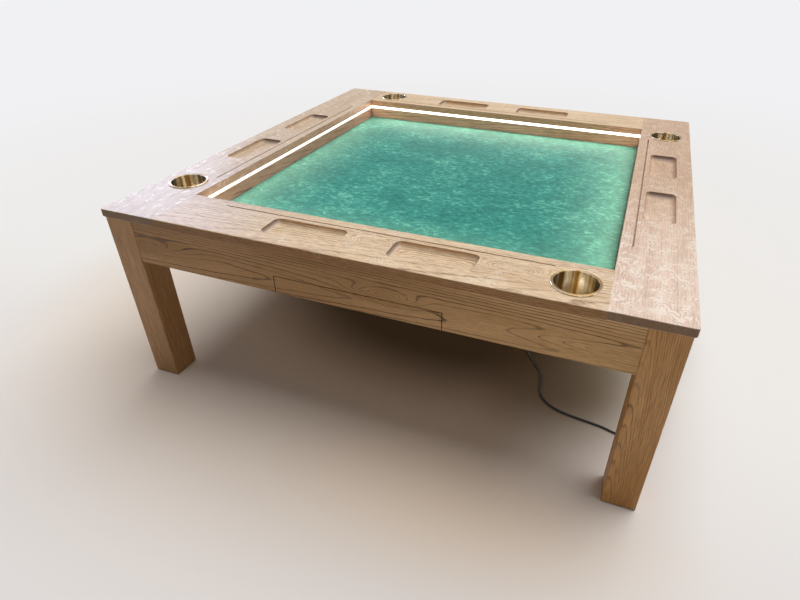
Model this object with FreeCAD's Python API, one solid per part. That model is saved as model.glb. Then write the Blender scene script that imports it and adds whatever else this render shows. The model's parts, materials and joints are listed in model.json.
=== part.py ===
"""Low square mahjong table with a sunken velvet field, four drawers and drop-in cup holders.

Units are millimetres, +Z is up and the origin is on the floor under the table's centre. A side's
pieces are modelled once on the front side, which faces -Y, and turned about the centre. On that
side "along" is X, and "across" is the distance from the centre towards the player.
"""
import FreeCAD
import Part
import math
import os

V = FreeCAD.Vector
UP = V(0, 0, 1)

# ---------------------------------------------------------------- driving dimensions
# Top: a frame of four boards
TABLE_SIDE = 1200.0        # edge to edge, both ways
TABLE_HEIGHT = 452.0       # floor to the face of the boards
BOARD_W = 138.5
BOARD_T = 18.0
BOARD_EDGE_R = 2.0         # eased outer edges
BOARD_DOWEL_D = 8.0        # dowels across the four butt joints
BOARD_DOWEL_L = 30.0
BOARD_DOWEL_SPACING = 64.0

# Tile trays, two in each board
TRAY_L = 169.0
TRAY_W = 66.0
TRAY_GAP = 106.0           # between the two trays of a board
TRAY_TO_EDGE = 37.0        # tray to the board's outer edge
TRAY_FLOOR_T = 6.0         # wood left under a tray
TRAY_CORNER_R = 11.0
TRAY_COVE_R = 5.0
TRAY_RIM = 0.8             # small chamfer round the mouth

# Card slot: a narrow groove near the well
SLOT_L = 716.0
SLOT_W = 3.0
SLOT_DEPTH = 8.0
SLOT_TO_WELL = 23.5        # groove's centre to the board's inner edge

# Drop-in cup holders
CUP_D = 80.0
CUP_WALL = 0.75
CUP_DEPTH = 62.0
CUP_BOTTOM_R = 6.0
FLANGE_D = 90.0
FLANGE_T = 2.0
CUP_TO_JOINT = 59.5        # cup's centre to the end joint of the short board
CUP_TO_EDGE = 68.0         # cup's centre to the board's outer edge
CUP_HOLE_CLEAR = 0.5       # each side
CUP_SEAT_CLEAR = 0.3       # under the flange

# Legs and floor pads
LEG_W = 68.0
LEG_SET_IN = 4.0           # overhang of the top past the legs
LEG_EDGE_R = 2.5
PAD_T = 2.0
PAD_MARGIN = 4.0           # pad inside the leg's outline

# Aprons, with a notch in the lower edge for the drawer
APRON_T = 20.0
APRON_SET_BACK = 1.5       # behind the leg's face
APRON_EDGE_R = 1.0

# Sunken playing field
WELL_DEPTH = 57.0          # boards' face to the velvet
VELVET_T = 5.0
VELVET_CLEAR = 0.3         # to the walls
VELVET_EDGE_R = 0.8
PANEL_T = 12.0
WALL_T = 20.0

# Light strip, let into the walls right under the boards
LED_H = 9.5
LED_DEPTH = 10.0
LED_PROFILE_T = 1.0
LED_DIFFUSER_T = 1.2
LED_TAPE_W = 5.0
LED_TAPE_T = 1.0

# Drawers
DRAWER_FACE_L = 360.0
DRAWER_FACE_H = 39.0
DRAWER_KERF = 1.5          # sawn gap round the drawer's face
DRAWER_FACE_R = 0.8
NOTCH_TO_PANEL = 4.0       # top of the apron's notch below the playing panel
BOX_INSET = 13.5           # box's side in from the face's end
BOX_SHORT_TOP = 6.0        # box's top edge below the notch
BOX_LIFT = 3.5             # box's lower edge above the face's lower edge
BOX_DEPTH = 240.0
BOX_SIDE_T = 12.0
BOTTOM_T = 5.0
BOTTOM_RISE = 3.0          # drawer bottom above the sides' lower edge
BOTTOM_TONGUE = 4.0        # how far the bottom enters its grooves
FIT = 0.2                  # clearance of wood parts in their grooves
PEG_D = 6.0                # stop pegs that catch the apron at full travel
PEG_FROM_BACK = 55.0
PEG_TO_GROOVE = 2.0        # wood between a peg and the runner's groove
PEG_TO_PANEL = 1.5
FINGER_L = 120.0           # finger groove under the face
FINGER_W = 10.0
FINGER_DEPTH = 8.0

# Drawer carcase under the playing panel
CHEEK_T = 18.0
CHEEK_GAP = 1.5            # drawer's side to the cheek
CHEEK_SHORT = 1.0          # cheek's lower edge above the box's
RUNNER_H = 8.0
RUNNER_BITE = 4.5          # how far a runner enters the drawer's groove
RUNNER_TIP_GAP = 0.5
RUNNER_CLEAR = 0.3         # above and below a runner
RUNNER_FRONT_GAP = 2.5
RAIL_T = 16.0              # rear rail that the drawer stops against
STOP_CLEAR = 0.3
BEARER_T = 20.0

# Corner blocks and leg bolts
BLOCK_GAP = 2.0            # leg's inner corner to the block
BLOCK_T = 22.0
BLOCK_H = 70.0
BLOCK_TO_BOARD = 19.0
BOLT_D = 8.0
BOLT_IN_LEG = 40.0
BOLT_TAIL = 16.0
BOLT_SPACING = 36.0
WASHER_D = 20.0
WASHER_T = 1.6
NUT_AF = 13.0              # across flats
NUT_H = 6.5
THREAD_CLEAR = 0.1
BLOCK_HOLE_CLEAR = 0.5

# Screws and top clips
SCREW_D = 4.0
SCREW_HEAD_D = 8.0
SCREW_HEAD_H = 2.4
SCREW_IN_WALL = 23.0
SCREW_PLACES = (-300.0, -100.0, 100.0, 300.0)
CLIP_PLACES = (-290.0, 0.0, 290.0)
CLIP_W = 20.0
CLIP_T = 2.0
CLIP_DROP = 14.0           # boards' underside to the tongue's lower face
CLIP_TONGUE = 8.0
CLIP_REACH = 20.0
CLIP_STAND_OFF = 2.0
CLIP_SCREW_L = 12.0

# Light driver, its low-voltage lead and the mains cord
DRIVER_W = 60.0
DRIVER_L = 150.0
DRIVER_H = 26.0
DRIVER_EDGE_R = 3.0
DRIVER_EAR_L = 12.0
DRIVER_EAR_T = 3.0
GLAND_L = 26.0
GLAND_D = 12.0
GLAND_TIP_D = 8.0
LEAD_D = 3.0
LEAD_DROP = 18.0           # lead below the playing panel
LEAD_STUB = 40.0
LEAD_SHIFT_L = 60.0
LEAD_OFFSET = 20.0
LEAD_BEND_R = 12.0
LEAD_CLIP_W = 7.0
LEAD_CLIP_L = 8.0
LEAD_CLIP_H = 12.0
LEAD_CLIPS = 4
CORD_D = 5.0
COIL_CENTRE = V(545, -55, 0)
COIL_OUTER_R = 34.0
COIL_INNER_R = 18.5
COIL_H = 10.1              # two layers of cord
COIL_EXIT_R = 28.9         # where the top layer leaves for the plug
PLUG_W = 34.0
PLUG_H = 13.7
PLUG_L = 38.0
PLUG_NOSE_W = 12.0
PLUG_STRAIGHT = 14.0
PLUG_RELIEF_L = 22.0
PLUG_RELIEF_D = 9.0
PIN_D = 4.0
PIN_L = 19.0
PIN_SPACING = 18.6

# The mains cord from the strain relief's tip to the coil, chosen by hand: it leaves the driver,
# hangs down to the floor, crosses it in loose bends and turns in behind the front right leg.
CORD_ROUTE = (
    (180, -56, 364),
    (181, -82, 362),
    (186, -108, 346),
    (193, -124, 312),
    (200, -129, 262),
    (206, -128, 206),
    (212, -124, 150),
    (219, -118, 98),
    (229, -113, 53),
    (242, -115, 21),
    (260, -129, 2.5),
    (277, -153, 2.5),
    (297, -187, 2.5),
    (319, -222, 2.5),
    (340, -251, 2.5),
    (349, -283, 2.5),
    (350, -317, 2.5),
    (362, -345, 2.5),
    (388, -367, 2.5),
    (424, -378, 2.5),
    (466, -384, 2.5),
    (508, -389, 2.5),
    (541, -400, 2.5),
    (567, -401, 2.5),
    (586, -385, 2.5),
    (593, -356, 2.5),
    (592, -318, 2.5),
    (588, -276, 2.5),
    (587, -232, 2.5),
    (589, -188, 2.5),
    (589, -147, 2.5),
    (583, -112, 2.5),
    (577.5, -82, 2.5),
    (576.5, -55, 2.5),
)

# ---------------------------------------------------------------- derived levels and faces
HALF = TABLE_SIDE / 2
WELL = HALF - BOARD_W                       # inner edge of the boards
BOARD_BOTTOM = TABLE_HEIGHT - BOARD_T
VELVET_TOP = TABLE_HEIGHT - WELL_DEPTH
PANEL_TOP = VELVET_TOP - VELVET_T
PANEL_BOTTOM = PANEL_TOP - PANEL_T
WALL_OUT = WELL + WALL_T
LED_BOTTOM = BOARD_BOTTOM - LED_H
LED_OUT = WELL + LED_DEPTH

NOTCH_TOP = PANEL_BOTTOM - NOTCH_TO_PANEL
FACE_TOP = NOTCH_TOP - DRAWER_KERF
FACE_BOTTOM = FACE_TOP - DRAWER_FACE_H      # also the apron's lower edge
NOTCH_HALF = DRAWER_FACE_L / 2 + DRAWER_KERF

LEG_OUT = HALF - LEG_SET_IN
LEG_IN = LEG_OUT - LEG_W
APRON_OUT = LEG_OUT - APRON_SET_BACK
APRON_IN = APRON_OUT - APRON_T

BOX_HALF = DRAWER_FACE_L / 2 - BOX_INSET
BOX_BACK = APRON_IN - BOX_DEPTH
BOX_TOP = NOTCH_TOP - BOX_SHORT_TOP
BOX_BOTTOM = FACE_BOTTOM + BOX_LIFT
BOX_INNER = BOX_HALF - BOX_SIDE_T
BOTTOM_LOW = BOX_BOTTOM + BOTTOM_RISE
BOTTOM_HIGH = BOTTOM_LOW + BOTTOM_T
PEG_ACROSS = BOX_BACK + PEG_FROM_BACK
PEG_ALONG = BOX_HALF - BOX_SIDE_T / 2
PEG_TOP = PANEL_BOTTOM - PEG_TO_PANEL
DRAWER_TRAVEL = APRON_IN - (PEG_ACROSS + PEG_D / 2) - STOP_CLEAR

CHEEK_IN = BOX_HALF + CHEEK_GAP
CHEEK_OUT = CHEEK_IN + CHEEK_T
CHEEK_BOTTOM = BOX_BOTTOM + CHEEK_SHORT
RAIL_OUT = BOX_BACK - STOP_CLEAR
RAIL_IN = RAIL_OUT - RAIL_T
RUNNER_MID = (BOX_TOP + BOX_BOTTOM) / 2
RUNNER_TIP = BOX_HALF - RUNNER_BITE
GROOVE_FLOOR = RUNNER_TIP - RUNNER_TIP_GAP
BEARER_OUT = (CHEEK_OUT + RAIL_IN + BEARER_T) / 2     # midway between the drawers
BEARER_IN = BEARER_OUT - BEARER_T

CUP_ALONG = WELL - CUP_TO_JOINT
CUP_ACROSS = HALF - CUP_TO_EDGE
TRAY_ALONG = (TRAY_GAP + TRAY_L) / 2
TRAY_ACROSS = HALF - TRAY_TO_EDGE - TRAY_W / 2
TRAY_FLOOR = BOARD_BOTTOM + TRAY_FLOOR_T

ROOT2 = math.sqrt(2)
LEG_CORNER = LEG_IN * ROOT2                 # leg's inner corner, along the diagonal
BLOCK_FAR = LEG_CORNER - BLOCK_GAP
BLOCK_NEAR = BLOCK_FAR - BLOCK_T
BLOCK_TOP = BOARD_BOTTOM - BLOCK_TO_BOARD
BLOCK_MID = BLOCK_TOP - BLOCK_H / 2

SIDES = {"front": 0, "right": 90, "back": 180, "left": 270}
CORNERS = {"back_right": 0, "back_left": 90, "front_left": 180, "front_right": 270}
SPARE = 5.0                                 # how far a cutter stands out of what it cuts


# ---------------------------------------------------------------- helpers
def block(along, inner, outer, low, high):
    """Box on the front side: along is (from, to), inner and outer are distances across."""
    corner = V(along[0], -outer, low)
    return Part.makeBox(along[1] - along[0], outer - inner, high - low, corner)


def turned(shape, degrees):
    """Copy of a shape, turned about the table's centre."""
    copy = shape.copy()
    copy.rotate(V(0, 0, 0), UP, degrees)
    return copy


def mirrored(shape):
    """Copy of a front-side shape on the other side of the side's middle."""
    return shape.mirror(V(0, 0, 0), V(1, 0, 0))


def all_round(shapes):
    """The shapes of one side or corner, repeated on all four."""
    return [turned(shape, quarter * 90) for quarter in range(4) for shape in shapes]


def cylinder(radius, start, direction, length):
    return Part.makeCylinder(radius, length, start, direction)


def edges_where(shape, test):
    return [edge for edge in shape.Edges if test(edge)]


def is_upright(edge):
    box = edge.BoundBox
    return box.ZLength > 0.01 and box.XLength < 0.01 and box.YLength < 0.01


def lies_at(edge, level):
    box = edge.BoundBox
    return abs(box.ZMin - level) < 0.01 and abs(box.ZMax - level) < 0.01


def cut_all(shape, tools):
    return shape.cut(Part.makeCompound(tools)) if tools else shape


def export(name, shapes):
    """Writes one node: a single solid, or a group of separate ones."""
    shapes = shapes if isinstance(shapes, list) else [shapes]
    solids = [solid for shape in shapes for solid in shape.Solids]
    for solid in solids:
        if not solid.isValid():
            print("invalid solid in", name)
    node = solids[0] if len(solids) == 1 else Part.makeCompound(solids)
    node.exportStep("parts/%s.step" % name)
    print("%-24s %2d solid(s) %10.1f cm3" % (name, len(solids), node.Volume / 1000))


# ---------------------------------------------------------------- top boards
def tray_cutter():
    """One tile tray: round corners in plan and a cove round its floor."""
    along = (TRAY_ALONG - TRAY_L / 2, TRAY_ALONG + TRAY_L / 2)
    inner = TRAY_ACROSS - TRAY_W / 2
    outer = TRAY_ACROSS + TRAY_W / 2
    tray = block(along, inner, outer, TRAY_FLOOR, TABLE_HEIGHT + SPARE)
    tray = tray.makeFillet(TRAY_CORNER_R, edges_where(tray, is_upright))
    return tray.makeFillet(TRAY_COVE_R, edges_where(tray, lambda edge: lies_at(edge, TRAY_FLOOR)))


def slot_cutter():
    middle = WELL + SLOT_TO_WELL
    return block((-SLOT_L / 2, SLOT_L / 2), middle - SLOT_W / 2, middle + SLOT_W / 2,
                 TABLE_HEIGHT - SLOT_DEPTH, TABLE_HEIGHT + SPARE)


def cup_hole_cutter():
    radius = CUP_D / 2 + CUP_HOLE_CLEAR
    start = V(CUP_ALONG, -CUP_ACROSS, BOARD_BOTTOM - SPARE)
    return cylinder(radius, start, UP, BOARD_T + 2 * SPARE)


def board_dowels(clear=0.0):
    """Dowels across the joints at both ends of the front board, or their holes."""
    length = BOARD_DOWEL_L + 2 * clear
    dowels = []
    for end in (-1, 1):
        for shift in (-BOARD_DOWEL_SPACING / 2, BOARD_DOWEL_SPACING / 2):
            across = (HALF + WELL) / 2 + shift
            start = V(end * WELL - length / 2, -across, BOARD_BOTTOM + BOARD_T / 2)
            dowels.append(cylinder(BOARD_DOWEL_D / 2 + clear, start, V(1, 0, 0), length))
    return dowels


def all_board_dowels(clear=0.0):
    """The front and back boards have them; the side boards take the other halves."""
    return [turned(dowel, angle) for angle in (0, 180) for dowel in board_dowels(clear)]


def clip_screw_holes():
    return [cylinder(SCREW_D / 2 + THREAD_CLEAR, V(along, -clip_screw_across(), BOARD_BOTTOM - SPARE),
                     UP, SPARE + CLIP_SCREW_L + 1) for along in CLIP_PLACES]


def top_board(half_length):
    """A board on the front side, with its trays, card slot and cup hole."""
    slab = block((-HALF, HALF), -HALF, HALF, BOARD_BOTTOM, TABLE_HEIGHT)
    slab = slab.makeFillet(BOARD_EDGE_R, slab.Edges)
    board = slab.common(block((-half_length, half_length), WELL, HALF, 0, TABLE_HEIGHT + SPARE))
    tray = tray_cutter()
    board = cut_all(board, [tray, mirrored(tray)])
    rims = edges_where(board, lambda edge: lies_at(edge, TABLE_HEIGHT)
                       and -edge.BoundBox.YMax > WELL + SLOT_TO_WELL
                       and -edge.BoundBox.YMin < HALF - BOARD_EDGE_R - 1)
    board = board.makeChamfer(TRAY_RIM, rims)
    return cut_all(board, [slot_cutter(), cup_hole_cutter()] + clip_screw_holes())


def make_top_boards():
    dowel_holes = all_board_dowels(THREAD_CLEAR)
    short_board = top_board(WELL)
    long_board = top_board(HALF)
    for side, angle in SIDES.items():
        board = short_board if side in ("front", "back") else long_board
        export("top_board_" + side, cut_all(turned(board, angle), dowel_holes))
    export("top_board_dowels", all_board_dowels())


# ---------------------------------------------------------------- cup holders
def cup_holder():
    """Spun brass cup with a rolled flange that rests on the board."""
    seat = TABLE_HEIGHT + CUP_SEAT_CLEAR
    axis = V(CUP_ALONG, -CUP_ACROSS, 0)
    base = seat - CUP_DEPTH
    cup = cylinder(CUP_D / 2, axis + V(0, 0, base), UP, CUP_DEPTH + FLANGE_T / 2)
    cup = cup.makeFillet(CUP_BOTTOM_R, edges_where(cup, lambda edge: lies_at(edge, base)))
    flange = cylinder(FLANGE_D / 2, axis + V(0, 0, seat), UP, FLANGE_T)
    flange = flange.makeFillet(FLANGE_T * 0.45, edges_where(flange, lambda edge: len(edge.Vertexes) == 1))
    floor = base + CUP_WALL
    hollow = cylinder(CUP_D / 2 - CUP_WALL, axis + V(0, 0, floor), UP, CUP_DEPTH + FLANGE_T + SPARE)
    hollow = hollow.makeFillet(CUP_BOTTOM_R - CUP_WALL,
                               edges_where(hollow, lambda edge: lies_at(edge, floor)))
    return cup.fuse(flange).cut(hollow).removeSplitter()


def make_cup_holders():
    holder = cup_holder()
    for side, angle in SIDES.items():
        export(side + "_cup_holder", turned(holder, angle))


# ---------------------------------------------------------------- legs, blocks and bolts
def diagonal(distance, level):
    """Point on the back right corner's diagonal."""
    return V(distance / ROOT2, distance / ROOT2, level)


INWARD = V(-1, -1, 0).normalize()


def bolt_levels():
    return (BLOCK_MID - BOLT_SPACING / 2, BLOCK_MID + BOLT_SPACING / 2)


def leg():
    post = block((LEG_IN, LEG_OUT), -LEG_OUT, -LEG_IN, PAD_T, BOARD_BOTTOM)
    post = post.makeFillet(LEG_EDGE_R, edges_where(post, is_upright))
    holes = [cylinder(BOLT_D / 2 + THREAD_CLEAR, diagonal(LEG_CORNER + BOLT_IN_LEG + 1, level),
                      INWARD, BOLT_IN_LEG + SPARE) for level in bolt_levels()]
    return cut_all(post, holes)


def corner_block():
    """Diagonal block between two aprons, with the bolt holes."""
    far = BLOCK_FAR * ROOT2 - APRON_IN
    near = BLOCK_NEAR * ROOT2 - APRON_IN
    low = BLOCK_TOP - BLOCK_H
    outline = [V(APRON_IN, far, low), V(far, APRON_IN, low), V(near, APRON_IN, low), V(APRON_IN, near, low)]
    body = Part.Face(Part.makePolygon(outline + outline[:1])).extrude(V(0, 0, BLOCK_H))
    holes = [cylinder(BOLT_D / 2 + BLOCK_HOLE_CLEAR, diagonal(BLOCK_FAR + SPARE, level), INWARD,
                      BLOCK_T + 2 * SPARE) for level in bolt_levels()]
    return cut_all(body, holes)


def hanger_bolts():
    length = LEG_CORNER + BOLT_IN_LEG - BLOCK_NEAR + BOLT_TAIL
    return [cylinder(BOLT_D / 2, diagonal(LEG_CORNER + BOLT_IN_LEG, level), INWARD, length)
            for level in bolt_levels()]


def ring_on_bolt(body, level):
    hole = cylinder(BOLT_D / 2 + THREAD_CLEAR, diagonal(BLOCK_FAR, level), INWARD, BLOCK_T + BOLT_TAIL)
    return body.cut(hole)


def washers():
    return [ring_on_bolt(cylinder(WASHER_D / 2, diagonal(BLOCK_NEAR, level), INWARD, WASHER_T), level)
            for level in bolt_levels()]


def hex_nuts():
    nuts = []
    for level in bolt_levels():
        centre = diagonal(BLOCK_NEAR - WASHER_T, level)
        sideways = V(-1, 1, 0).normalize()
        radius = NUT_AF / math.sqrt(3)
        points = []
        for step in range(7):
            angle = math.radians(60 * step)
            points.append(centre + sideways * (radius * math.cos(angle)) + UP * (radius * math.sin(angle)))
        nut = Part.Face(Part.makePolygon(points)).extrude(INWARD * NUT_H)
        nuts.append(ring_on_bolt(nut, level))
    return nuts


def floor_pad():
    pad = block((LEG_IN + PAD_MARGIN, LEG_OUT - PAD_MARGIN), -LEG_OUT + PAD_MARGIN,
                -LEG_IN - PAD_MARGIN, 0, PAD_T)
    return pad.makeFillet(PAD_MARGIN, edges_where(pad, is_upright))


def make_legs():
    post = leg()
    for corner, angle in CORNERS.items():
        export("leg_" + corner, turned(post, angle))
    export("floor_pads", all_round([floor_pad()]))
    export("corner_blocks", all_round([corner_block()]))
    export("hanger_bolts", all_round(hanger_bolts()))
    export("hanger_bolt_washers", all_round(washers()))
    export("hanger_bolt_nuts", all_round(hex_nuts()))


# ---------------------------------------------------------------- aprons and top clips
def clip_screw_across():
    return APRON_IN - CLIP_STAND_OFF - CLIP_T - CLIP_REACH / 2


def apron():
    board = block((-LEG_IN, LEG_IN), APRON_IN, APRON_OUT, FACE_BOTTOM, BOARD_BOTTOM)
    lower = edges_where(board, lambda edge: lies_at(edge, FACE_BOTTOM) and edge.BoundBox.XLength > SPARE)
    board = board.makeFillet(APRON_EDGE_R, lower)
    notch = block((-NOTCH_HALF, NOTCH_HALF), APRON_IN - SPARE, APRON_OUT + SPARE,
                  FACE_BOTTOM - SPARE, NOTCH_TOP)
    low = BOARD_BOTTOM - CLIP_DROP - FIT
    mortises = [block((along - CLIP_W / 2 - FIT, along + CLIP_W / 2 + FIT), APRON_IN - SPARE,
                      APRON_IN + CLIP_TONGUE + FIT, low, low + CLIP_T + 2 * FIT)
                for along in CLIP_PLACES]
    return cut_all(board, [notch] + mortises)


def top_clips():
    """Z-shaped clips: the tongue is in the apron, the flange is screwed to the board."""
    clips = []
    web_in = APRON_IN - CLIP_STAND_OFF - CLIP_T
    web_out = web_in + CLIP_T
    tongue_low = BOARD_BOTTOM - CLIP_DROP
    for along in CLIP_PLACES:
        width = (along - CLIP_W / 2, along + CLIP_W / 2)
        tongue = block(width, web_in, APRON_IN + CLIP_TONGUE, tongue_low, tongue_low + CLIP_T)
        web = block(width, web_in, web_out, tongue_low, BOARD_BOTTOM)
        flange = block(width, web_in - CLIP_REACH + CLIP_T, web_out, BOARD_BOTTOM - CLIP_T, BOARD_BOTTOM)
        hole = cylinder(SCREW_D / 2 + THREAD_CLEAR,
                        V(along, -clip_screw_across(), BOARD_BOTTOM - SPARE), UP, 2 * SPARE)
        clips.append(tongue.fuse([web, flange]).removeSplitter().cut(hole))
    return clips


def clip_screws():
    screws = []
    for along in CLIP_PLACES:
        seat = V(along, -clip_screw_across(), BOARD_BOTTOM - CLIP_T)
        head = cylinder(SCREW_HEAD_D / 2, seat - UP * SCREW_HEAD_H, UP, SCREW_HEAD_H)
        shank = cylinder(SCREW_D / 2, seat, UP, CLIP_T + CLIP_SCREW_L)
        screws.append(head.fuse(shank).removeSplitter())
    return screws


def make_aprons():
    board = apron()
    for side, angle in SIDES.items():
        export("apron_" + side, turned(board, angle))
    export("top_clips", all_round(top_clips()))
    export("top_clip_screws", all_round(clip_screws()))


# ---------------------------------------------------------------- playing field
def panel_screws(clear=0.0):
    """Countersunk screws from below, through the panel into the walls, or their holes."""
    screws = []
    for along in SCREW_PLACES:
        foot = V(along, -(WELL + WALL_OUT) / 2, PANEL_BOTTOM)
        head = Part.makeCone(SCREW_HEAD_D / 2 + clear, SCREW_D / 2 + clear, SCREW_HEAD_H, foot, UP)
        shank = cylinder(SCREW_D / 2 + clear, foot, UP, PANEL_T + SCREW_IN_WALL + clear)
        screws.append(head.fuse(shank).removeSplitter())
    return screws


def well_wall(half_length):
    wall = block((-half_length, half_length), WELL, WALL_OUT, PANEL_TOP, BOARD_BOTTOM)
    rebate = block((-LED_OUT, LED_OUT), -LED_OUT, LED_OUT, LED_BOTTOM, BOARD_BOTTOM + SPARE)
    return cut_all(wall, [rebate] + panel_screws(THREAD_CLEAR))


def playing_panel():
    panel = block((-WALL_OUT, WALL_OUT), -WALL_OUT, WALL_OUT, PANEL_BOTTOM, PANEL_TOP)
    return cut_all(panel, all_round(panel_screws(THREAD_CLEAR)))


def velvet_pad():
    reach = WELL - VELVET_CLEAR
    pad = block((-reach, reach), -reach, reach, PANEL_TOP, VELVET_TOP)
    return pad.makeFillet(VELVET_EDGE_R, edges_where(pad, lambda edge: lies_at(edge, VELVET_TOP)))


def mitred_strip(inner, outer, low, high):
    """The front side of a square ring, cut at 45 degrees at both ends."""
    corners = [V(-inner, -inner, low), V(inner, -inner, low), V(outer, -outer, low), V(-outer, -outer, low)]
    return Part.Face(Part.makePolygon(corners + corners[:1])).extrude(V(0, 0, high - low))


def led_profile():
    """Aluminium channel that opens towards the well."""
    mouth = WELL + LED_DIFFUSER_T
    body = mitred_strip(mouth, LED_OUT, LED_BOTTOM, BOARD_BOTTOM)
    hollow = mitred_strip(mouth - SPARE, LED_OUT - LED_PROFILE_T,
                          LED_BOTTOM + LED_PROFILE_T, BOARD_BOTTOM - LED_PROFILE_T)
    return body.cut(hollow)


def led_tape():
    back = LED_OUT - LED_PROFILE_T
    middle = (LED_BOTTOM + BOARD_BOTTOM) / 2
    return mitred_strip(back - LED_TAPE_T, back, middle - LED_TAPE_W / 2, middle + LED_TAPE_W / 2)


def make_playing_field():
    lead_hole = cylinder(LEAD_D / 2 + BLOCK_HOLE_CLEAR, V(lead_x(), led_middle(), PANEL_BOTTOM - SPARE),
                         UP, BOARD_BOTTOM - PANEL_BOTTOM - LED_H / 2 + SPARE)
    for side, angle in SIDES.items():
        half_length = WELL if side in ("front", "back") else WALL_OUT
        export("well_wall_" + side, turned(well_wall(half_length), angle).cut(lead_hole))
    export("playing_panel", playing_panel().cut(lead_hole))
    export("velvet_pad", velvet_pad())
    export("panel_screws", all_round(panel_screws()))
    export("led_profiles", [profile.cut(lead_hole) for profile in all_round([led_profile()])])
    export("led_tapes", all_round([led_tape()]))
    export("led_diffusers", all_round([mitred_strip(WELL, WELL + LED_DIFFUSER_T, LED_BOTTOM, BOARD_BOTTOM)]))


# ---------------------------------------------------------------- drawers
def drawer_face():
    """Flush face with a finger groove under it and a groove for the drawer bottom."""
    face = block((-DRAWER_FACE_L / 2, DRAWER_FACE_L / 2), APRON_IN, APRON_OUT, FACE_BOTTOM, FACE_TOP)
    outer = edges_where(face, lambda edge: abs(edge.BoundBox.YMax + APRON_OUT) < 0.01)
    face = face.makeFillet(DRAWER_FACE_R, outer)
    middle = (APRON_IN + APRON_OUT) / 2
    finger = block((-FINGER_L / 2, FINGER_L / 2), middle - FINGER_W / 2, middle + FINGER_W / 2,
                   FACE_BOTTOM - SPARE, FACE_BOTTOM + FINGER_DEPTH)
    return cut_all(face, [finger, bottom_groove()])


def bottom_groove():
    """The space that the drawer bottom takes in the face and the sides."""
    reach = BOX_INNER + BOTTOM_TONGUE
    return block((-reach, reach), BOX_BACK - SPARE, APRON_IN + BOTTOM_TONGUE,
                 BOTTOM_LOW - FIT, BOTTOM_HIGH + FIT)


def drawer_bottom():
    reach = BOX_INNER + BOTTOM_TONGUE - FIT
    return block((-reach, reach), BOX_BACK, APRON_IN + BOTTOM_TONGUE - FIT, BOTTOM_LOW, BOTTOM_HIGH)


def stop_peg(clear=0.0):
    low = RUNNER_MID + RUNNER_H / 2 + RUNNER_CLEAR + PEG_TO_GROOVE
    return cylinder(PEG_D / 2 + clear, V(PEG_ALONG, -PEG_ACROSS, low), UP, PEG_TOP - low)


def drawer_side():
    side = block((BOX_INNER, BOX_HALF), BOX_BACK, APRON_IN, BOX_BOTTOM, BOX_TOP)
    half_groove = RUNNER_H / 2 + RUNNER_CLEAR
    groove = block((GROOVE_FLOOR, BOX_HALF + SPARE), BOX_BACK - SPARE, APRON_IN,
                   RUNNER_MID - half_groove, RUNNER_MID + half_groove)
    return cut_all(side, [groove, bottom_groove(), stop_peg(THREAD_CLEAR)])


def drawer_back():
    return block((-BOX_INNER, BOX_INNER), BOX_BACK, BOX_BACK + BOX_SIDE_T, BOTTOM_HIGH + FIT, BOX_TOP)


def make_drawers():
    side = drawer_side()
    peg = stop_peg()
    box = [side, mirrored(side), drawer_back(), peg, mirrored(peg)]
    for name, angle in SIDES.items():
        export(name + "_drawer_face", turned(drawer_face(), angle))
        export(name + "_drawer_box", [turned(piece, angle) for piece in box])
        export(name + "_drawer_bottom", turned(drawer_bottom(), angle))
    print("drawer travel %.1f mm" % DRAWER_TRAVEL)


# ---------------------------------------------------------------- drawer carcase
def cheek():
    return block((CHEEK_IN, CHEEK_OUT), RAIL_IN, APRON_IN, CHEEK_BOTTOM, PANEL_BOTTOM)


def runner():
    return block((RUNNER_TIP, CHEEK_IN), RAIL_OUT, APRON_IN - RUNNER_FRONT_GAP,
                 RUNNER_MID - RUNNER_H / 2, RUNNER_MID + RUNNER_H / 2)


def rear_rail():
    return block((-CHEEK_IN, CHEEK_IN), RAIL_IN, RAIL_OUT, CHEEK_BOTTOM, PANEL_BOTTOM)


def bearer():
    """Rail from the front apron to the back one, under the playing panel."""
    return block((BEARER_IN, BEARER_OUT), -APRON_IN, APRON_IN, CHEEK_BOTTOM, PANEL_BOTTOM)


def make_carcase():
    export("drawer_cheeks", all_round([cheek(), mirrored(cheek())]))
    export("drawer_runners", all_round([runner(), mirrored(runner())]))
    export("drawer_rear_rails", all_round([rear_rail()]))
    export("support_bearers", [bearer(), mirrored(bearer())])


# ---------------------------------------------------------------- light driver and its lead
def gland_tip():
    return V(*CORD_ROUTE[0])


def driver_near():
    """Y of the driver's end that the cord leaves."""
    return gland_tip().y + GLAND_L


def lead_x():
    return BEARER_IN - LEAD_CLIP_W / 2


def lead_level():
    return PANEL_BOTTOM - LEAD_DROP


def led_middle():
    return (WELL + LED_OUT) / 2


def lead_route():
    """Out of the driver, along the bearer and up through the wall into the light channel."""
    start = V(gland_tip().x + LEAD_OFFSET, driver_near() + DRIVER_L, lead_level())
    return [start, start + V(0, LEAD_STUB, 0),
            V(lead_x(), start.y + LEAD_STUB + LEAD_SHIFT_L, lead_level()),
            V(lead_x(), led_middle(), lead_level()),
            V(lead_x(), led_middle(), LED_BOTTOM + LED_PROFILE_T)]


def led_driver():
    near = driver_near()
    left = gland_tip().x - DRIVER_W / 2
    case = Part.makeBox(DRIVER_W, DRIVER_L, DRIVER_H, V(left, near, PANEL_BOTTOM - DRIVER_H))
    case = case.makeFillet(DRIVER_EDGE_R, edges_where(case, lambda edge: not lies_at(edge, PANEL_BOTTOM)))
    for start in (near - DRIVER_EAR_L, near + DRIVER_L - DRIVER_EDGE_R):
        ear = Part.makeBox(DRIVER_W / 2, DRIVER_EAR_L + DRIVER_EDGE_R, DRIVER_EAR_T,
                           V(left + DRIVER_W / 4, start, PANEL_BOTTOM - DRIVER_EAR_T))
        case = case.fuse(ear)
    return case.removeSplitter()


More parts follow.
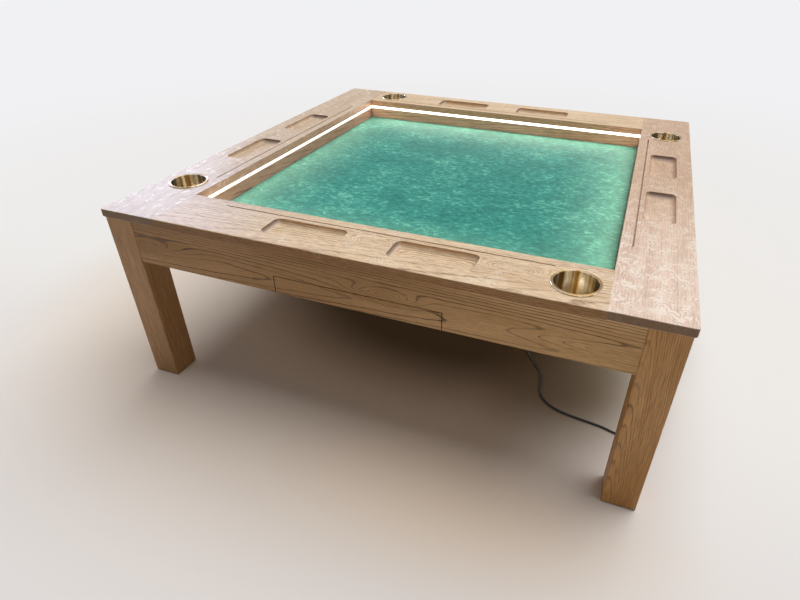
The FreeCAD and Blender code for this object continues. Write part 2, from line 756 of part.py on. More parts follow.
def cord_gland():
    """Tapered strain relief on the driver's end."""
    return Part.makeCone(GLAND_D / 2, GLAND_TIP_D / 2, GLAND_L,
                         V(gland_tip().x, driver_near(), gland_tip().z), V(0, -1, 0))


def lead_clip(place):
    start = V(BEARER_IN - LEAD_CLIP_W, place - LEAD_CLIP_L / 2, lead_level() - LEAD_CLIP_H / 2)
    body = Part.makeBox(LEAD_CLIP_W, LEAD_CLIP_L, LEAD_CLIP_H, start)
    hole = cylinder(LEAD_D / 2 + THREAD_CLEAR, V(lead_x(), place - SPARE, lead_level()),
                    V(0, 1, 0), 2 * SPARE)
    return body.cut(hole)


def lead_clips():
    route = lead_route()
    first = route[2].y + LEAD_CLIP_L
    last = route[3].y - LEAD_BEND_R - LEAD_CLIP_L
    step = (last - first) / (LEAD_CLIPS - 1)
    return [lead_clip(first + step * number) for number in range(LEAD_CLIPS)]


# ---------------------------------------------------------------- cords
def rounded_wire(points, largest=None):
    """Straight runs joined by tangent arcs. Each arc takes 0.45 of its shorter run."""
    edges = []
    radii = []
    start = points[0]
    for before, corner, after in zip(points, points[1:], points[2:]):
        arriving = (corner - before).normalize()
        leaving = (after - corner).normalize()
        half_turn = arriving.getAngle(leaving) / 2
        reach = 0.45 * min((corner - before).Length, (after - corner).Length)
        if largest:
            reach = min(reach, largest * math.tan(half_turn))
        radius = reach / math.tan(half_turn)
        towards = (leaving - arriving).normalize()
        middle = corner + towards * (radius / math.cos(half_turn) - radius)
        first = corner - arriving * reach
        last = corner + leaving * reach
        edges.append(Part.LineSegment(start, first).toShape())
        edges.append(Part.Arc(first, middle, last).toShape())
        radii.append(radius)
        start = last
    edges.append(Part.LineSegment(start, points[-1]).toShape())
    return Part.Wire(edges), radii


def tube(points, diameter, largest=None):
    wire, radii = rounded_wire(points, largest)
    profile = Part.Wire([Part.makeCircle(diameter / 2, points[0], points[1] - points[0])])
    solid = wire.makePipeShell([profile], True, False)
    section = math.pi * diameter ** 2 / 4
    print("tube of %.0f mm: volume %.1f, section times length %.1f"
          % (wire.Length, solid.Volume, section * wire.Length))
    print("  bend radii", " ".join("%.0f" % radius for radius in radii))
    return solid


def cord_coil():
    """Outer shape of the coiled length: two turns side by side, and more on top."""
    hole = cylinder(COIL_INNER_R, COIL_CENTRE, UP, COIL_H)
    ring = cylinder(COIL_OUTER_R, COIL_CENTRE, UP, COIL_H).cut(hole)
    return ring.makeFillet(CORD_D * 0.45, edges_where(ring, lambda edge: len(edge.Vertexes) == 1))


def mains_plug():
    """Flat two-pin plug on its side, with its strain relief at the coil."""
    axis_y = COIL_CENTRE.y + COIL_EXIT_R
    level = PLUG_H / 2
    tip_x = COIL_CENTRE.x - math.sqrt(COIL_OUTER_R ** 2 - COIL_EXIT_R ** 2)
    nose_x = tip_x - PLUG_RELIEF_L
    shoulder_x = nose_x - (PLUG_L - PLUG_STRAIGHT)
    face_x = nose_x - PLUG_L
    relief = Part.makeCone(CORD_D / 2 + 0.5, PLUG_RELIEF_D / 2, PLUG_RELIEF_L,
                           V(tip_x, axis_y, level), V(-1, 0, 0))
    outline = [V(nose_x, axis_y - PLUG_NOSE_W / 2, 0), V(nose_x, axis_y + PLUG_NOSE_W / 2, 0),
               V(shoulder_x, axis_y + PLUG_W / 2, 0), V(face_x, axis_y + PLUG_W / 2, 0),
               V(face_x, axis_y - PLUG_W / 2, 0), V(shoulder_x, axis_y - PLUG_W / 2, 0)]
    body = Part.Face(Part.makePolygon(outline + outline[:1])).extrude(V(0, 0, PLUG_H))
    pins = [cylinder(PIN_D / 2, V(face_x, axis_y + shift, level), V(-1, 0, 0), PIN_L)
            for shift in (-PIN_SPACING / 2, PIN_SPACING / 2)]
    return [body.fuse(relief).removeSplitter()] + pins


def make_electrics():
    export("led_driver", led_driver())
    export("cord_gland", cord_gland())
    export("led_lead", tube(lead_route(), LEAD_D, LEAD_BEND_R))
    export("lead_clips", lead_clips())
    export("power_cord", tube([V(*point) for point in CORD_ROUTE], CORD_D))
    export("cord_coil", cord_coil())
    export("mains_plug", mains_plug())


# ---------------------------------------------------------------- build
os.makedirs("parts", exist_ok=True)
make_top_boards()
make_cup_holders()
make_legs()
make_aprons()
make_playing_field()
make_drawers()
make_carcase()
make_electrics()
print("boards' face at %.1f, velvet at %.1f, panel's underside at %.1f, apron's lower edge at %.1f"
      % (TABLE_HEIGHT, VELVET_TOP, PANEL_BOTTOM, FACE_BOTTOM))
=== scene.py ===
# %% [markdown]
# # A low mahjong table with drawers
# The table is a square oak top around a sunken velvet field, on four square legs. This script
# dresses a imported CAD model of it. Pieces whose shape is right keep their CAD mesh and only get a
# finish. The boards, legs, aprons, drawer faces, cups, cloth, light cover and cord are modelled
# again, with eased edges and grain.

import json
import math

import bmesh
import bpy
from mathutils import Matrix, Vector


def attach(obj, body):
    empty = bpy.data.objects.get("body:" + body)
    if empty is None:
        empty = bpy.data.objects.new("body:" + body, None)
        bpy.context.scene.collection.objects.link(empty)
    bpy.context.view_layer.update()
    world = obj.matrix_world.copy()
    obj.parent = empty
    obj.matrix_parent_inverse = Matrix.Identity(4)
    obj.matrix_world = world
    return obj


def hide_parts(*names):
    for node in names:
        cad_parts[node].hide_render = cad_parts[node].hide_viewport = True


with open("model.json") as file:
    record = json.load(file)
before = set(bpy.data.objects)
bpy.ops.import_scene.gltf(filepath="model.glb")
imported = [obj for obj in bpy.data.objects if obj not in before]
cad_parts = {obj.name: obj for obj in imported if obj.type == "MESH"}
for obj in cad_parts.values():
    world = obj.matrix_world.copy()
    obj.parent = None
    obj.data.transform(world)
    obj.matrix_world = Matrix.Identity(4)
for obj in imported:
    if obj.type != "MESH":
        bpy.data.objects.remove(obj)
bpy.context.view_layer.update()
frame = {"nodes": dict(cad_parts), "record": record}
nodes = frame["nodes"]

# %% [markdown]
# ## Two small helpers for finishes
# A colour is easiest to read as the hex code that a painter's chart gives, but Blender mixes light
# in linear numbers, so one function turns one into the other. A second one adds a node with its
# settings and links in a single line, which keeps each finish short enough to read.

# %% Colour and node helpers
def colour(code):
    """An sRGB hex code as the linear red, green, blue and alpha that a socket takes."""
    parts = [int(code[i:i + 2], 16) / 255 for i in (1, 3, 5)]
    return [p / 12.92 if p <= 0.04045 else ((p + 0.055) / 1.055) ** 2.4 for p in parts] + [1.0]


def add(tree, kind, inputs=None, stops=None, **settings):
    """Adds a node; an input is given a value, or another node's output to link from."""
    made = tree.nodes.new("ShaderNode" + kind)
    for name, value in settings.items():
        setattr(made, name, value)
    for socket, value in (inputs or {}).items():
        if isinstance(value, bpy.types.NodeSocket):
            tree.links.new(value, made.inputs[socket])
        else:
            made.inputs[socket].default_value = value
    for i, (place, shade) in enumerate(stops or ()):
        ramp = made.color_ramp.elements
        stop = ramp[i] if i < 2 else ramp.new(place)
        stop.position = place
        stop.color = colour(shade) if isinstance(shade, str) else [shade] * 3 + [1]
    return made


def new_finish(name, **sockets):
    """A material with one Principled shader, whose plain values are set on its own sockets."""
    made = bpy.data.materials.new(name)
    made.use_nodes = True
    tree = made.node_tree
    shader = tree.nodes["Principled BSDF"]
    for socket, value in sockets.items():
        shader.inputs[socket.replace("_", " ")].default_value = value
    return made, tree, shader


print("mid grey #808080 is", round(colour("#808080")[0], 3), "in linear numbers")

# %% [markdown]
# ## The camera
# The view is from standing height at the front right leg, turned to the left and tilted down. The
# lens is the main camera of a phone, a short one, so the near corner looks large.

# %% Camera
lens_data = bpy.data.cameras.new("camera")
camera = bpy.data.objects.new("camera", lens_data)
bpy.context.scene.collection.objects.link(camera)
bpy.context.scene.camera = camera
turn = Matrix.Rotation(math.radians(20.2753), 4, "Z")
tilt = Matrix.Rotation(math.radians(56.3391), 4, "X")
roll = Matrix.Rotation(math.radians(0.6064), 4, "Z")
camera.matrix_world = Matrix.Translation((0.4452, -1.3830, 0.9534)) @ turn @ tilt @ roll
lens_data.sensor_width = 36.0
lens_data.lens = 24.93
lens_data.shift_x = -0.03554
lens_data.shift_y = 0.00118
lens_data.clip_start = 0.05
print("camera", [round(c, 3) for c in camera.location])

# %% [markdown]
# ## Tools for modelling
# Each new piece starts as a primitive at its size and place. An edit-mode operator works on what is
# selected, so one helper selects the edges or faces that pass a test of place or direction. A
# Boolean modifier does what a router does, and a copy is turned about the table's centre.

# %% Modelling helpers
MM = 0.001


def nothing_selected():
    """Goes back to object mode and lets go of every object, the CAD nodes among them."""
    if bpy.context.object and bpy.context.object.mode != "OBJECT":
        bpy.ops.object.mode_set(mode="OBJECT")
    bpy.ops.object.select_all(action="DESELECT")


def only(piece):
    """Makes a piece the one selected and active object, in object mode."""
    nothing_selected()
    piece.select_set(True)
    bpy.context.view_layer.objects.active = piece
    return piece


def settled(name):
    """Names a new primitive and moves its place and size into its mesh."""
    bpy.ops.object.transform_apply(location=True, rotation=True, scale=True)
    piece = bpy.context.object
    piece.name = name
    return piece


def add_box(name, low, high):
    """A box between two corners, given in millimetres."""
    nothing_selected()
    low, high = Vector(low) * MM, Vector(high) * MM
    bpy.ops.mesh.primitive_cube_add(size=1, location=(low + high) / 2, scale=high - low)
    return settled(name)


def select(piece, kind, test):
    """In edit mode, selects the edges or faces of a piece that pass the test."""
    if piece.mode != "EDIT":
        only(piece)
        bpy.ops.object.mode_set(mode="EDIT")
    bpy.ops.mesh.select_mode(type=kind)
    bpy.ops.mesh.select_all(action="DESELECT")
    mesh = bmesh.from_edit_mesh(piece.data)
    mesh.normal_update()
    found = [item for item in (mesh.edges if kind == "EDGE" else mesh.faces) if test(item)]
    for item in found:
        item.select_set(True)
    mesh.select_flush_mode()
    bmesh.update_edit_mesh(piece.data)
    return len(found)


def runs(edge, axis):
    """True if an edge lies along an axis, 0 for X, 1 for Y and 2 for Z."""
    way = edge.verts[1].co - edge.verts[0].co
    return abs(way[axis]) > 0.999 * way.length


def ease(piece, radius, test, segments=3):
    """Rounds the chosen edges, as a few strokes of a plane and sandpaper do. Radius in mm."""
    count = select(piece, "EDGE", test)
    bpy.ops.mesh.bevel(offset=radius * MM, segments=segments, affect="EDGES", clamp_overlap=False)
    bpy.ops.object.mode_set(mode="OBJECT")
    return count


def cut(piece, cutter):
    """Takes the cutter's shape out of the piece, and throws the cutter away."""
    only(piece)
    router = piece.modifiers.new("cut", "BOOLEAN")
    router.operation, router.solver, router.object = "DIFFERENCE", "EXACT", cutter
    bpy.ops.object.modifier_apply(modifier=router.name)
    bpy.data.objects.remove(cutter)


def smooth(piece, degrees=35):
    """Smooth shading that keeps flat faces flat, by weighting normals by area."""
    only(piece)
    bpy.ops.object.shade_smooth_by_angle(angle=math.radians(degrees))
    weights = piece.modifiers.new("flats", "WEIGHTED_NORMAL")
    weights.weight, weights.keep_sharp = 100, True
    bpy.ops.object.modifier_apply(modifier=weights.name)
    return piece


def quarter_turn(count):
    """Quarter turns about the table's centre, from the front to the right and on."""
    return Matrix.Rotation(math.radians(90 * count), 4, "Z")


def copied(piece, name, quarter_turns):
    """A copy with its own mesh, turned about the table's centre."""
    twin = bpy.data.objects.new(name, piece.data.copy())
    twin.data.name = name
    twin.data.transform(quarter_turn(quarter_turns))
    bpy.context.scene.collection.objects.link(twin)
    return twin


def finish_piece(piece, node, material, body="root"):
    """Gives a new piece its material, the CAD node that it stands for and the body it rides on."""
    piece.data.materials.clear()
    piece.data.materials.append(material)
    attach(piece, body)
    if node:
        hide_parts(node)
    return piece


print("a quarter turn takes the front to", [round(v) for v in quarter_turn(1) @ Vector((0, -1, 0))])

# %% [markdown]
# ## The mains cord
# A 5 mm round PVC cord leaves the light driver under the table, hangs down to the floor, crosses it
# in loose bends and turns in behind the front right leg. A curve with a bevel suits it: one smooth
# NURBS line through a few points. What isn't laid out is wound in two layers of a neat coil, as a
# lead is put away, and ends in the plug. The driver's strain relief gives the first direction.

# %% Cord
CORD_ROUTE = (
    (180, -56, 364), (181, -82, 362), (186, -108, 346), (193, -124, 312), (200, -129, 262),
    (206, -128, 206), (212, -124, 150), (219, -118, 98), (229, -113, 53), (242, -115, 21),
    (260, -129, 2.5), (277, -153, 2.5), (297, -187, 2.5), (319, -222, 2.5), (340, -251, 2.5),
    (349, -283, 2.5), (350, -317, 2.5), (362, -345, 2.5), (388, -367, 2.5), (424, -378, 2.5),
    (466, -384, 2.5), (508, -389, 2.5), (541, -400, 2.5), (567, -401, 2.5), (586, -385, 2.5),
    (593, -356, 2.5), (592, -318, 2.5), (588, -276, 2.5), (587, -232, 2.5), (589, -188, 2.5),
    (589, -147, 2.5), (583, -112, 2.5), (577.5, -82, 2.5),
)
CORD_D = 5.0
COIL_X, COIL_Y = 545.0, -55.0
COIL_WIDE, COIL_SHRINK = 31.5, 10.4        # the lower turns' radius, and how much they wind in
TOP_TIGHT, TOP_GROW = 22.4, 6.5            # the upper turns' radius, and how much they wind out
ON_FLOOR, ON_TURNS = 2.5, 7.6              # heights of the cord's middle in the two layers
TOP_TURNS, TURN_POINTS = 1.25, 14


def coil_points():
    """Two turns inward on the floor, then one and a quarter outward on top of them."""
    swell = 1 / 0.975     # the line cuts inside its control points
    points = []
    inward = 2 * TURN_POINTS
    for i in range(inward + 1):
        part = i / inward
        angle = 2 * math.pi * i / TURN_POINTS
        radius = (COIL_WIDE - COIL_SHRINK * part) * swell
        points.append((COIL_X + radius * math.cos(angle), COIL_Y + radius * math.sin(angle),
                       ON_FLOOR))
    outward = round(TOP_TURNS * TURN_POINTS)
    for i in range(2, outward + 1):
        part = i / outward
        angle = 2 * math.pi * TOP_TURNS * part
        radius = (TOP_TIGHT + TOP_GROW * part) * swell
        level = ON_TURNS if i > 3 else ON_FLOOR + 5.1 * (i - 1) / 3
        points.append((COIL_X + radius * math.cos(angle), COIL_Y + radius * math.sin(angle), level))
    return points


PLUG_Y, PLUG_Z, RELIEF_TIP_X = -26.1, 6.85, 527.1
cord_points = list(CORD_ROUTE) + coil_points()
cord_points += [(537.0, -26.3, 7.2), (RELIEF_TIP_X, PLUG_Y, PLUG_Z)]
cord_curve = bpy.data.curves.new("mains_cord", "CURVE")
cord_curve.dimensions = "3D"
cord_line = cord_curve.splines.new("NURBS")
cord_line.points.add(len(cord_points) - 1)
for point, place in zip(cord_line.points, cord_points):
    point.co = (*(Vector(place) * MM), 1.0)
cord_line.order_u = 3
cord_line.use_endpoint_u = True
cord_line.resolution_u = 6
cord_curve.bevel_depth = CORD_D / 2 * MM
cord_curve.bevel_resolution = 4
cord_curve.use_fill_caps = True
cord = bpy.data.objects.new("mains_cord", cord_curve)
bpy.context.scene.collection.objects.link(cord)
print("cord points:", len(cord_points))

# %% [markdown]
# ## The strain relief and the plug
# Both are PVC, moulded around the cord. A strain relief is a turned shape with rings cut into it,
# so that it bends evenly: a circle is extruded and resized from ring to ring. The flat two-pin
# plug starts as a box whose back face is extruded and pinched in to where the cord enters.

# %% Turned pieces, strain reliefs and plug
def turned(name, rings, sides=32):
    """A closed turned solid about Z from rings of (radius, height) in mm."""
    nothing_selected()
    bpy.ops.mesh.primitive_circle_add(vertices=sides, radius=rings[0][0] * MM, fill_type="NGON",
                                      location=(0, 0, rings[0][1] * MM))
    piece = settled(name)
    bpy.ops.object.mode_set(mode="EDIT")
    bpy.ops.mesh.select_all(action="SELECT")
    for (radius, height), (bigger, higher) in zip(rings, rings[1:]):
        bpy.ops.mesh.extrude_region_move(
            TRANSFORM_OT_translate={"value": (0, 0, (higher - height) * MM)})
        scale = bigger / radius
        bpy.ops.transform.resize(value=(scale, scale, 1), center_override=(0, 0, higher * MM))
    bpy.ops.mesh.select_all(action="SELECT")
    bpy.ops.mesh.normals_make_consistent(inside=False)
    bpy.ops.object.mode_set(mode="OBJECT")
    return piece


def relief_rings(length, tip_d, root_d, grooves):
    """A cone from the tip to the root with grooves cut round it."""
    rings = [(tip_d / 2 - 0.4, 0.0), (tip_d / 2, 0.5)]
    for i in range(grooves):
        start = length * (0.12 + 0.72 * i / grooves)
        step = length * 0.72 / grooves
        for part, depth in ((0.0, 0.0), (0.12, 0.7), (0.42, 0.7), (0.54, 0.0)):
            at = start + step * part
            rings.append((tip_d / 2 + (root_d - tip_d) / 2 * at / length - depth, at))
    rings += [(root_d / 2, length * 0.9), (root_d / 2, length)]
    return rings


driver_relief = turned("driver_relief", relief_rings(26, 8, 12, 5))
driver_relief.data.transform(Matrix.Translation((0.180, -0.056, 0.364))
                             @ Matrix.Rotation(-math.pi / 2, 4, "X"))
plug_relief = turned("plug_relief", relief_rings(22, 6, 9, 4))
plug_relief.data.transform(Matrix.Translation((RELIEF_TIP_X * MM, PLUG_Y * MM, PLUG_Z * MM))
                           @ Matrix.Rotation(-math.pi / 2, 4, "Y"))

PLUG_NOSE_X = RELIEF_TIP_X - 22
PLUG_FACE_X = PLUG_NOSE_X - 38
PLUG_HALF, PLUG_SHOULDER, PIN_LENGTH, PIN_APART = 17, 14, 19, 18.6
plug_body = add_box("plug_body", (PLUG_FACE_X, PLUG_Y - PLUG_HALF, 0.05),
                    (PLUG_FACE_X + PLUG_SHOULDER, PLUG_Y + PLUG_HALF, 13.65))
select(plug_body, "FACE", lambda face: face.normal.x > 0.9)
for longer, back, narrower, flatter in ((14, PLUG_FACE_X + 28, 0.72, 0.96),
                                        (10, PLUG_NOSE_X, 0.49, 0.86)):
    bpy.ops.mesh.extrude_region_move(TRANSFORM_OT_translate={"value": (longer * MM, 0, 0)})
    bpy.ops.transform.resize(value=(1, narrower, flatter),
                             center_override=(back * MM, PLUG_Y * MM, PLUG_Z * MM))
ease(plug_body, 2.0, lambda edge: edge.calc_face_angle(0) > 0.5, segments=3)
smooth(plug_body, 50)
plug_pins = turned("plug_pins", [(1.4, 0), (1.9, 0.6), (2.0, 1.4), (2.0, PIN_LENGTH)], sides=24)
pin_place = Vector((PLUG_FACE_X - PIN_LENGTH, PLUG_Y - PIN_APART / 2, PLUG_Z)) * MM
plug_pins.data.transform(Matrix.Translation(pin_place) @ Matrix.Rotation(math.pi / 2, 4, "Y"))
other_pin = bpy.data.objects.new("other_pin", plug_pins.data.copy())
other_pin.data.transform(Matrix.Translation((0, PIN_APART * MM, 0)))
bpy.context.scene.collection.objects.link(other_pin)
only(plug_pins)
other_pin.select_set(True)
bpy.ops.object.join()
for piece in (driver_relief, plug_relief, plug_pins):
    smooth(piece, 40)
print("plug is", round(PLUG_FACE_X - PIN_LENGTH, 1), "to", RELIEF_TIP_X, "mm along X")

# %% [markdown]
# ## Light washed oak
# Oak is ring-porous: each year starts with a row of open pores, which a saw cuts into dark lines.
# A tree is a slim cone, so rings are circles around its heart that shift along the trunk. Where a
# plank's face cuts them at a slant they make nested arches, and where the plank is cut along a
# radius they make straight lines crossed by pale ray flecks. The finish works that geometry out
# from Object coordinates, in metres, so every board shows the right figure on each of its faces.
# Washing whitens the wood and leaves the pores dark, and oil sinks in deeper at a saw cut across
# the grain, so coves and end grain get tints of their own. Upright faces get tints too, which are
# painted shade, darker and warmer where little light falls, and on the well's edges also a painted
# correction of the green light that the velvet throws up. A pore is only 0.3 mm wide and wouldn't
# show at this distance, so pore dashes are drawn 2 to 3 mm wide and 20 to 40 mm long.

# %% Oak
X, Y, Z = 0, 1, 2
OUTER_SIDE, WELL_SIDE = 0.5925, 0.463      # how far from the middle the top's two sides stand, in m


def oak(name, grain, heart, ring=5.0, taper=0.03, sway=5.0, wave=0.5, light="#D8BE9A",
        warm="#C6A67E", dark="#6B4A2E", lines=0.8, rays=0.0, ray_size=(9, 30), curl=1.0,
        patches=0.0, eyes=(), eye_axis=1, seam=None, shift=0.0, side="#FFFFFF",
        inside="#FFFFFF", tray="#FFFFFF", end="#6A543F", cove="#74665F", dashes=0.3,
        fine=(24, 300), pale=None, flock=(0.0, -9.0), open_pores=0.6, thin=0.0):
    """One plank. grain is its long axis, and its across and deep axes are the other two in order.

    heart is the tree's middle on those two, in metres; ring, sway, wave and ray_size are mm. An eye
    is (along, side, half length, half height, swell) in metres, with its side on eye_axis. fine is
    the pore dashes per metre along and across. pale is (from, to, colour) for a tint that fades in
    along the plank, and patches crowds the ray flecks together between the two places in flock.
    side, tray and inside tint upright faces on the outer side, the tray walls and the well side:
    painted shade, and on the well side a painted correction of coloured light. cove and end tint
    the coves and end grain. lines, rays, dashes, open_pores and thin are strengths."""
    made, tree, shader = new_finish(name, Specular_IOR_Level=0.35)
    # the plank's own axes: along the grain, across it and into the tree
    place = add(tree, "TexCoord")
    axes = add(tree, "SeparateXYZ", {0: place.outputs["Object"]}).outputs
    along, across, deep = axes[grain], axes[1 if grain == 0 else 0], axes[1 if grain == 2 else 2]
    plank = add(tree, "CombineXYZ", {0: along, 1: across, 2: deep}).outputs[0]
    normal = add(tree, "SeparateXYZ", {0: place.outputs["Normal"]}).outputs
    faces = add(tree, "CombineXYZ", {0: normal[grain], 1: normal[1 if grain == 0 else 0],
                                     2: normal[1 if grain == 2 else 2]}).outputs[0]
    wood = add(tree, "VectorMath", {0: plank, 1: (shift, 0, 0)}, operation="ADD").outputs[0]
    if seam is not None:      # two staves glued edge to edge, from different planks
        stave = add(tree, "Math", {0: across, 1: seam}, operation="GREATER_THAN").outputs[0]
        wood = add(tree, "VectorMath", {0: stave, 1: (0.61, 0.043, 0.027), 2: wood},
                   operation="MULTIPLY_ADD").outputs[0]

    # rings: the distance from a heart that sways, shifted along the trunk, rippled and swollen
    slow = add(tree, "Mapping", {0: wood, "Scale": (2.4, 10, 10)}).outputs[0]
    bends = add(tree, "TexNoise", {"Vector": slow, "Scale": 1.0, "Detail": 2.0, "Roughness": 0.45})
    swayed = add(tree, "VectorMath",
                 {0: bends.outputs["Color"], 1: (0, 2 * sway * MM, 2 * sway * MM), 2: plank},
                 operation="MULTIPLY_ADD").outputs[0]
    from_heart = add(tree, "Mapping", {0: swayed, "Scale": (0, 1, 1),
                                       "Location": (0, -heart[0] - sway * MM,
                                                    -heart[1] - sway * MM)})
    radius = add(tree, "VectorMath", {0: from_heart.outputs[0]},
                 operation="LENGTH").outputs["Value"]
    cone = add(tree, "Math", {0: along, 1: taper, 2: radius}, operation="MULTIPLY_ADD").outputs[0]
    quick = add(tree, "Mapping", {0: wood, "Scale": (30, 120, 120)}).outputs[0]
    ripple = add(tree, "TexNoise", {"Vector": quick, "Scale": 1.0, "Detail": 3.0}).outputs[0]
    cone = add(tree, "Math", {0: ripple, 1: 4 * wave * MM, 2: cone},
               operation="MULTIPLY_ADD").outputs[0]
    for at, off, half_along, half_side, height in eyes:
        size, spot = [1 / half_along, 0, 0], [-at / half_along, 0, 0]
        size[eye_axis], spot[eye_axis] = 1 / half_side, -off / half_side
        spot = add(tree, "Mapping", {0: plank, "Scale": size, "Location": spot})
        swell = add(tree, "TexGradient", {0: spot.outputs[0]}, gradient_type="QUADRATIC_SPHERE")
        cone = add(tree, "Math", {0: swell.outputs[1], 1: height, 2: cone},
                   operation="MULTIPLY_ADD").outputs[0]
    year = add(tree, "Math", {0: cone, 1: 1000 / ring}, operation="MULTIPLY").outputs[0]
    phase = add(tree, "Math", {0: year}, operation="FRACT").outputs[0]
    pore_row = add(tree, "ValToRGB", {0: phase},
                   stops=((0.0, 0.0), (1.0, 0.0), (0.68, 0.08), (0.82, 1.0),
                          (0.92, 0.9))).outputs[0]

    # pore rows: darker in some years than in others, thinner and open where a face lies along them
    drawn = add(tree, "Mapping", {0: wood, "Scale": (fine[0], fine[1], fine[1])}).outputs[0]
    streak = add(tree, "TexNoise",
                 {"Vector": drawn, "Scale": 1.0, "Detail": 5.0, "Roughness": 0.7}).outputs[0]
    age = add(tree, "TexNoise", {"W": year, "Scale": 0.43, "Detail": 1.0},
              noise_dimensions="1D").outputs[0]
    fade = add(tree, "Mapping", {0: wood, "Scale": (7, 50, 50)}).outputs[0]
    faded = add(tree, "TexNoise", {"Vector": fade, "Scale": 1.0, "Detail": 3.0}).outputs[0]
    amount = add(tree, "Math", {0: age, 1: faded}, operation="MULTIPLY").outputs[0]
    amount = add(tree, "MapRange",
                 {0: amount, 1: 0.13, 2: 0.34, 3: 0.3 * lines, 4: lines}).outputs[0]
    flat = add(tree, "VectorMath", {0: from_heart.outputs[0]}, operation="NORMALIZE").outputs[0]
    flat = add(tree, "VectorMath", {0: flat, 1: faces}, operation="DOT_PRODUCT").outputs["Value"]
    flat = add(tree, "Math", {0: flat}, operation="ABSOLUTE").outputs[0]
    thinner = add(tree, "MapRange", {0: flat, 1: 0.85, 2: 0.99, 3: 0.0, 4: thin}).outputs[0]
    line = add(tree, "MapRange", {0: pore_row, 1: thinner, 2: 1.0}).outputs[0]
    line = add(tree, "Math", {0: line, 1: amount}, operation="MULTIPLY", use_clamp=True).outputs[0]
    pores = add(tree, "MapRange", {0: streak, 1: 0.42, 2: 0.55}).outputs[0]
    flat = add(tree, "MapRange", {0: flat, 1: 0.85, 2: 0.99, 3: 0.15, 4: open_pores}).outputs[0]
    pores = add(tree, "Math", {0: pores, 1: flat}, operation="MULTIPLY").outputs[0]
    pores = add(tree, "Math", {0: 1.0, 1: pores}, operation="SUBTRACT").outputs[0]
    line = add(tree, "Math", {0: line, 1: pores}, operation="MULTIPLY").outputs[0]

    # two tones of wood in broad streaks, then the lines and the short pore dashes over them
    broad = add(tree, "Mapping", {0: wood, "Scale": (2.5, 22, 22)}).outputs[0]
    tone = add(tree, "TexNoise", {"Vector": broad, "Scale": 1.0, "Detail": 3.0}).outputs[0]
    tone = add(tree, "MapRange", {0: tone, 1: 0.35, 2: 0.65}).outputs[0]
    base = add(tree, "Mix", {0: tone, 6: colour(light), 7: colour(warm)},
               data_type="RGBA").outputs[2]
    lined = add(tree, "Mix", {0: line, 6: base, 7: colour(dark)}, data_type="RGBA").outputs[2]
    dash = add(tree, "MapRange", {0: streak, 1: 0.36, 2: 0.58, 3: 1 - dashes, 4: 1.0}).outputs[0]
    planed = add(tree, "Mix", {0: 1.0, 6: lined, 7: dash}, data_type="RGBA",
                 blend_type="MULTIPLY").outputs[2]
    if rays:       # ribbons across the grain, bent and broken up into flecks
        lean = add(tree, "TexNoise",
                   {"Vector": wood, "Scale": 13.0, "Detail": 3.0}).outputs["Color"]
        lean = add(tree, "VectorMath", {0: lean, 1: (0.15 * curl, 0, 0), 2: wood},
                   operation="MULTIPLY_ADD").outputs[0]
        lean = add(tree, "SeparateXYZ", {0: lean}).outputs
        ribbon = add(tree, "Math", {0: lean[0], 1: 1000 / ray_size[0]},
                     operation="MULTIPLY").outputs[0]
        ribbon = add(tree, "Math", {0: ribbon, 1: 0.5}, operation="PINGPONG").outputs[0]
        cells = add(tree, "Mapping", {0: wood, "Scale": (1100 / ray_size[1], 1000 / ray_size[1],
                                                         1000 / ray_size[1])})
        cells = add(tree, "TexNoise",
                    {"Vector": cells.outputs[0], "Scale": 1.0, "Detail": 2.0}).outputs[0]
        crowd = add(tree, "MapRange",
                    {0: along, 1: flock[0], 2: flock[1], 3: 0.0, 4: patches}).outputs[0]
        cells = add(tree, "Math", {0: cells, 1: crowd}, operation="ADD").outputs[0]
        fleck = add(tree, "Math", {0: ribbon, 1: 0.55, 2: cells},
                    operation="MULTIPLY_ADD").outputs[0]
        fleck = add(tree, "MapRange", {0: fleck, 1: 0.79, 2: 0.83, 3: 0.0, 4: rays}).outputs[0]
        planed = add(tree, "Mix", {0: fleck, 6: planed, 7: colour("#F8EADB")},
                     data_type="RGBA").outputs[2]
    # a tint that fades in along the plank: on the front and left boards a painted reflection of the
    # window's glare near the front left corner, on the right board painted light at its front end,
    # and on the aprons a darkening towards one end
    if pale:
        fade_along = add(tree, "MapRange", {0: along, 1: pale[0], 2: pale[1]},
                     interpolation_type="SMOOTHSTEP").outputs[0]
        planed = add(tree, "Mix", {0: fade_along, 6: planed, 7: colour(pale[2])}, data_type="RGBA",
                     blend_type="MULTIPLY").outputs[2]
    # painted shade on upright sides, on the outside, in a tray and in the well, where the well
    # side's tint also corrects the light's colour
    level = add(tree, "Math", {0: normal[2]}, operation="ABSOLUTE").outputs[0]
    level = add(tree, "MapRange", {0: level, 1: 0.05, 2: 0.7, 3: 1.0, 4: 0.0}).outputs[0]
    reach = [add(tree, "Math", {0: axes[i]}, operation="ABSOLUTE").outputs[0] for i in (X, Y)]
    reach = add(tree, "Math", {0: reach[0], 1: reach[1]}, operation="MAXIMUM").outputs[0]
    outer = add(tree, "Math", {0: reach, 1: OUTER_SIDE}, operation="GREATER_THAN").outputs[0]
    well = add(tree, "Math", {0: reach, 1: WELL_SIDE}, operation="LESS_THAN").outputs[0]
    tint = add(tree, "Mix", {0: well, 6: colour(tray), 7: colour(inside)},
               data_type="RGBA").outputs[2]
    tint = add(tree, "Mix", {0: outer, 6: tint, 7: colour(side)}, data_type="RGBA").outputs[2]
    uprights_painted = add(tree, "Mix", {0: level, 6: planed, 7: tint}, data_type="RGBA",
                blend_type="MULTIPLY").outputs[2]
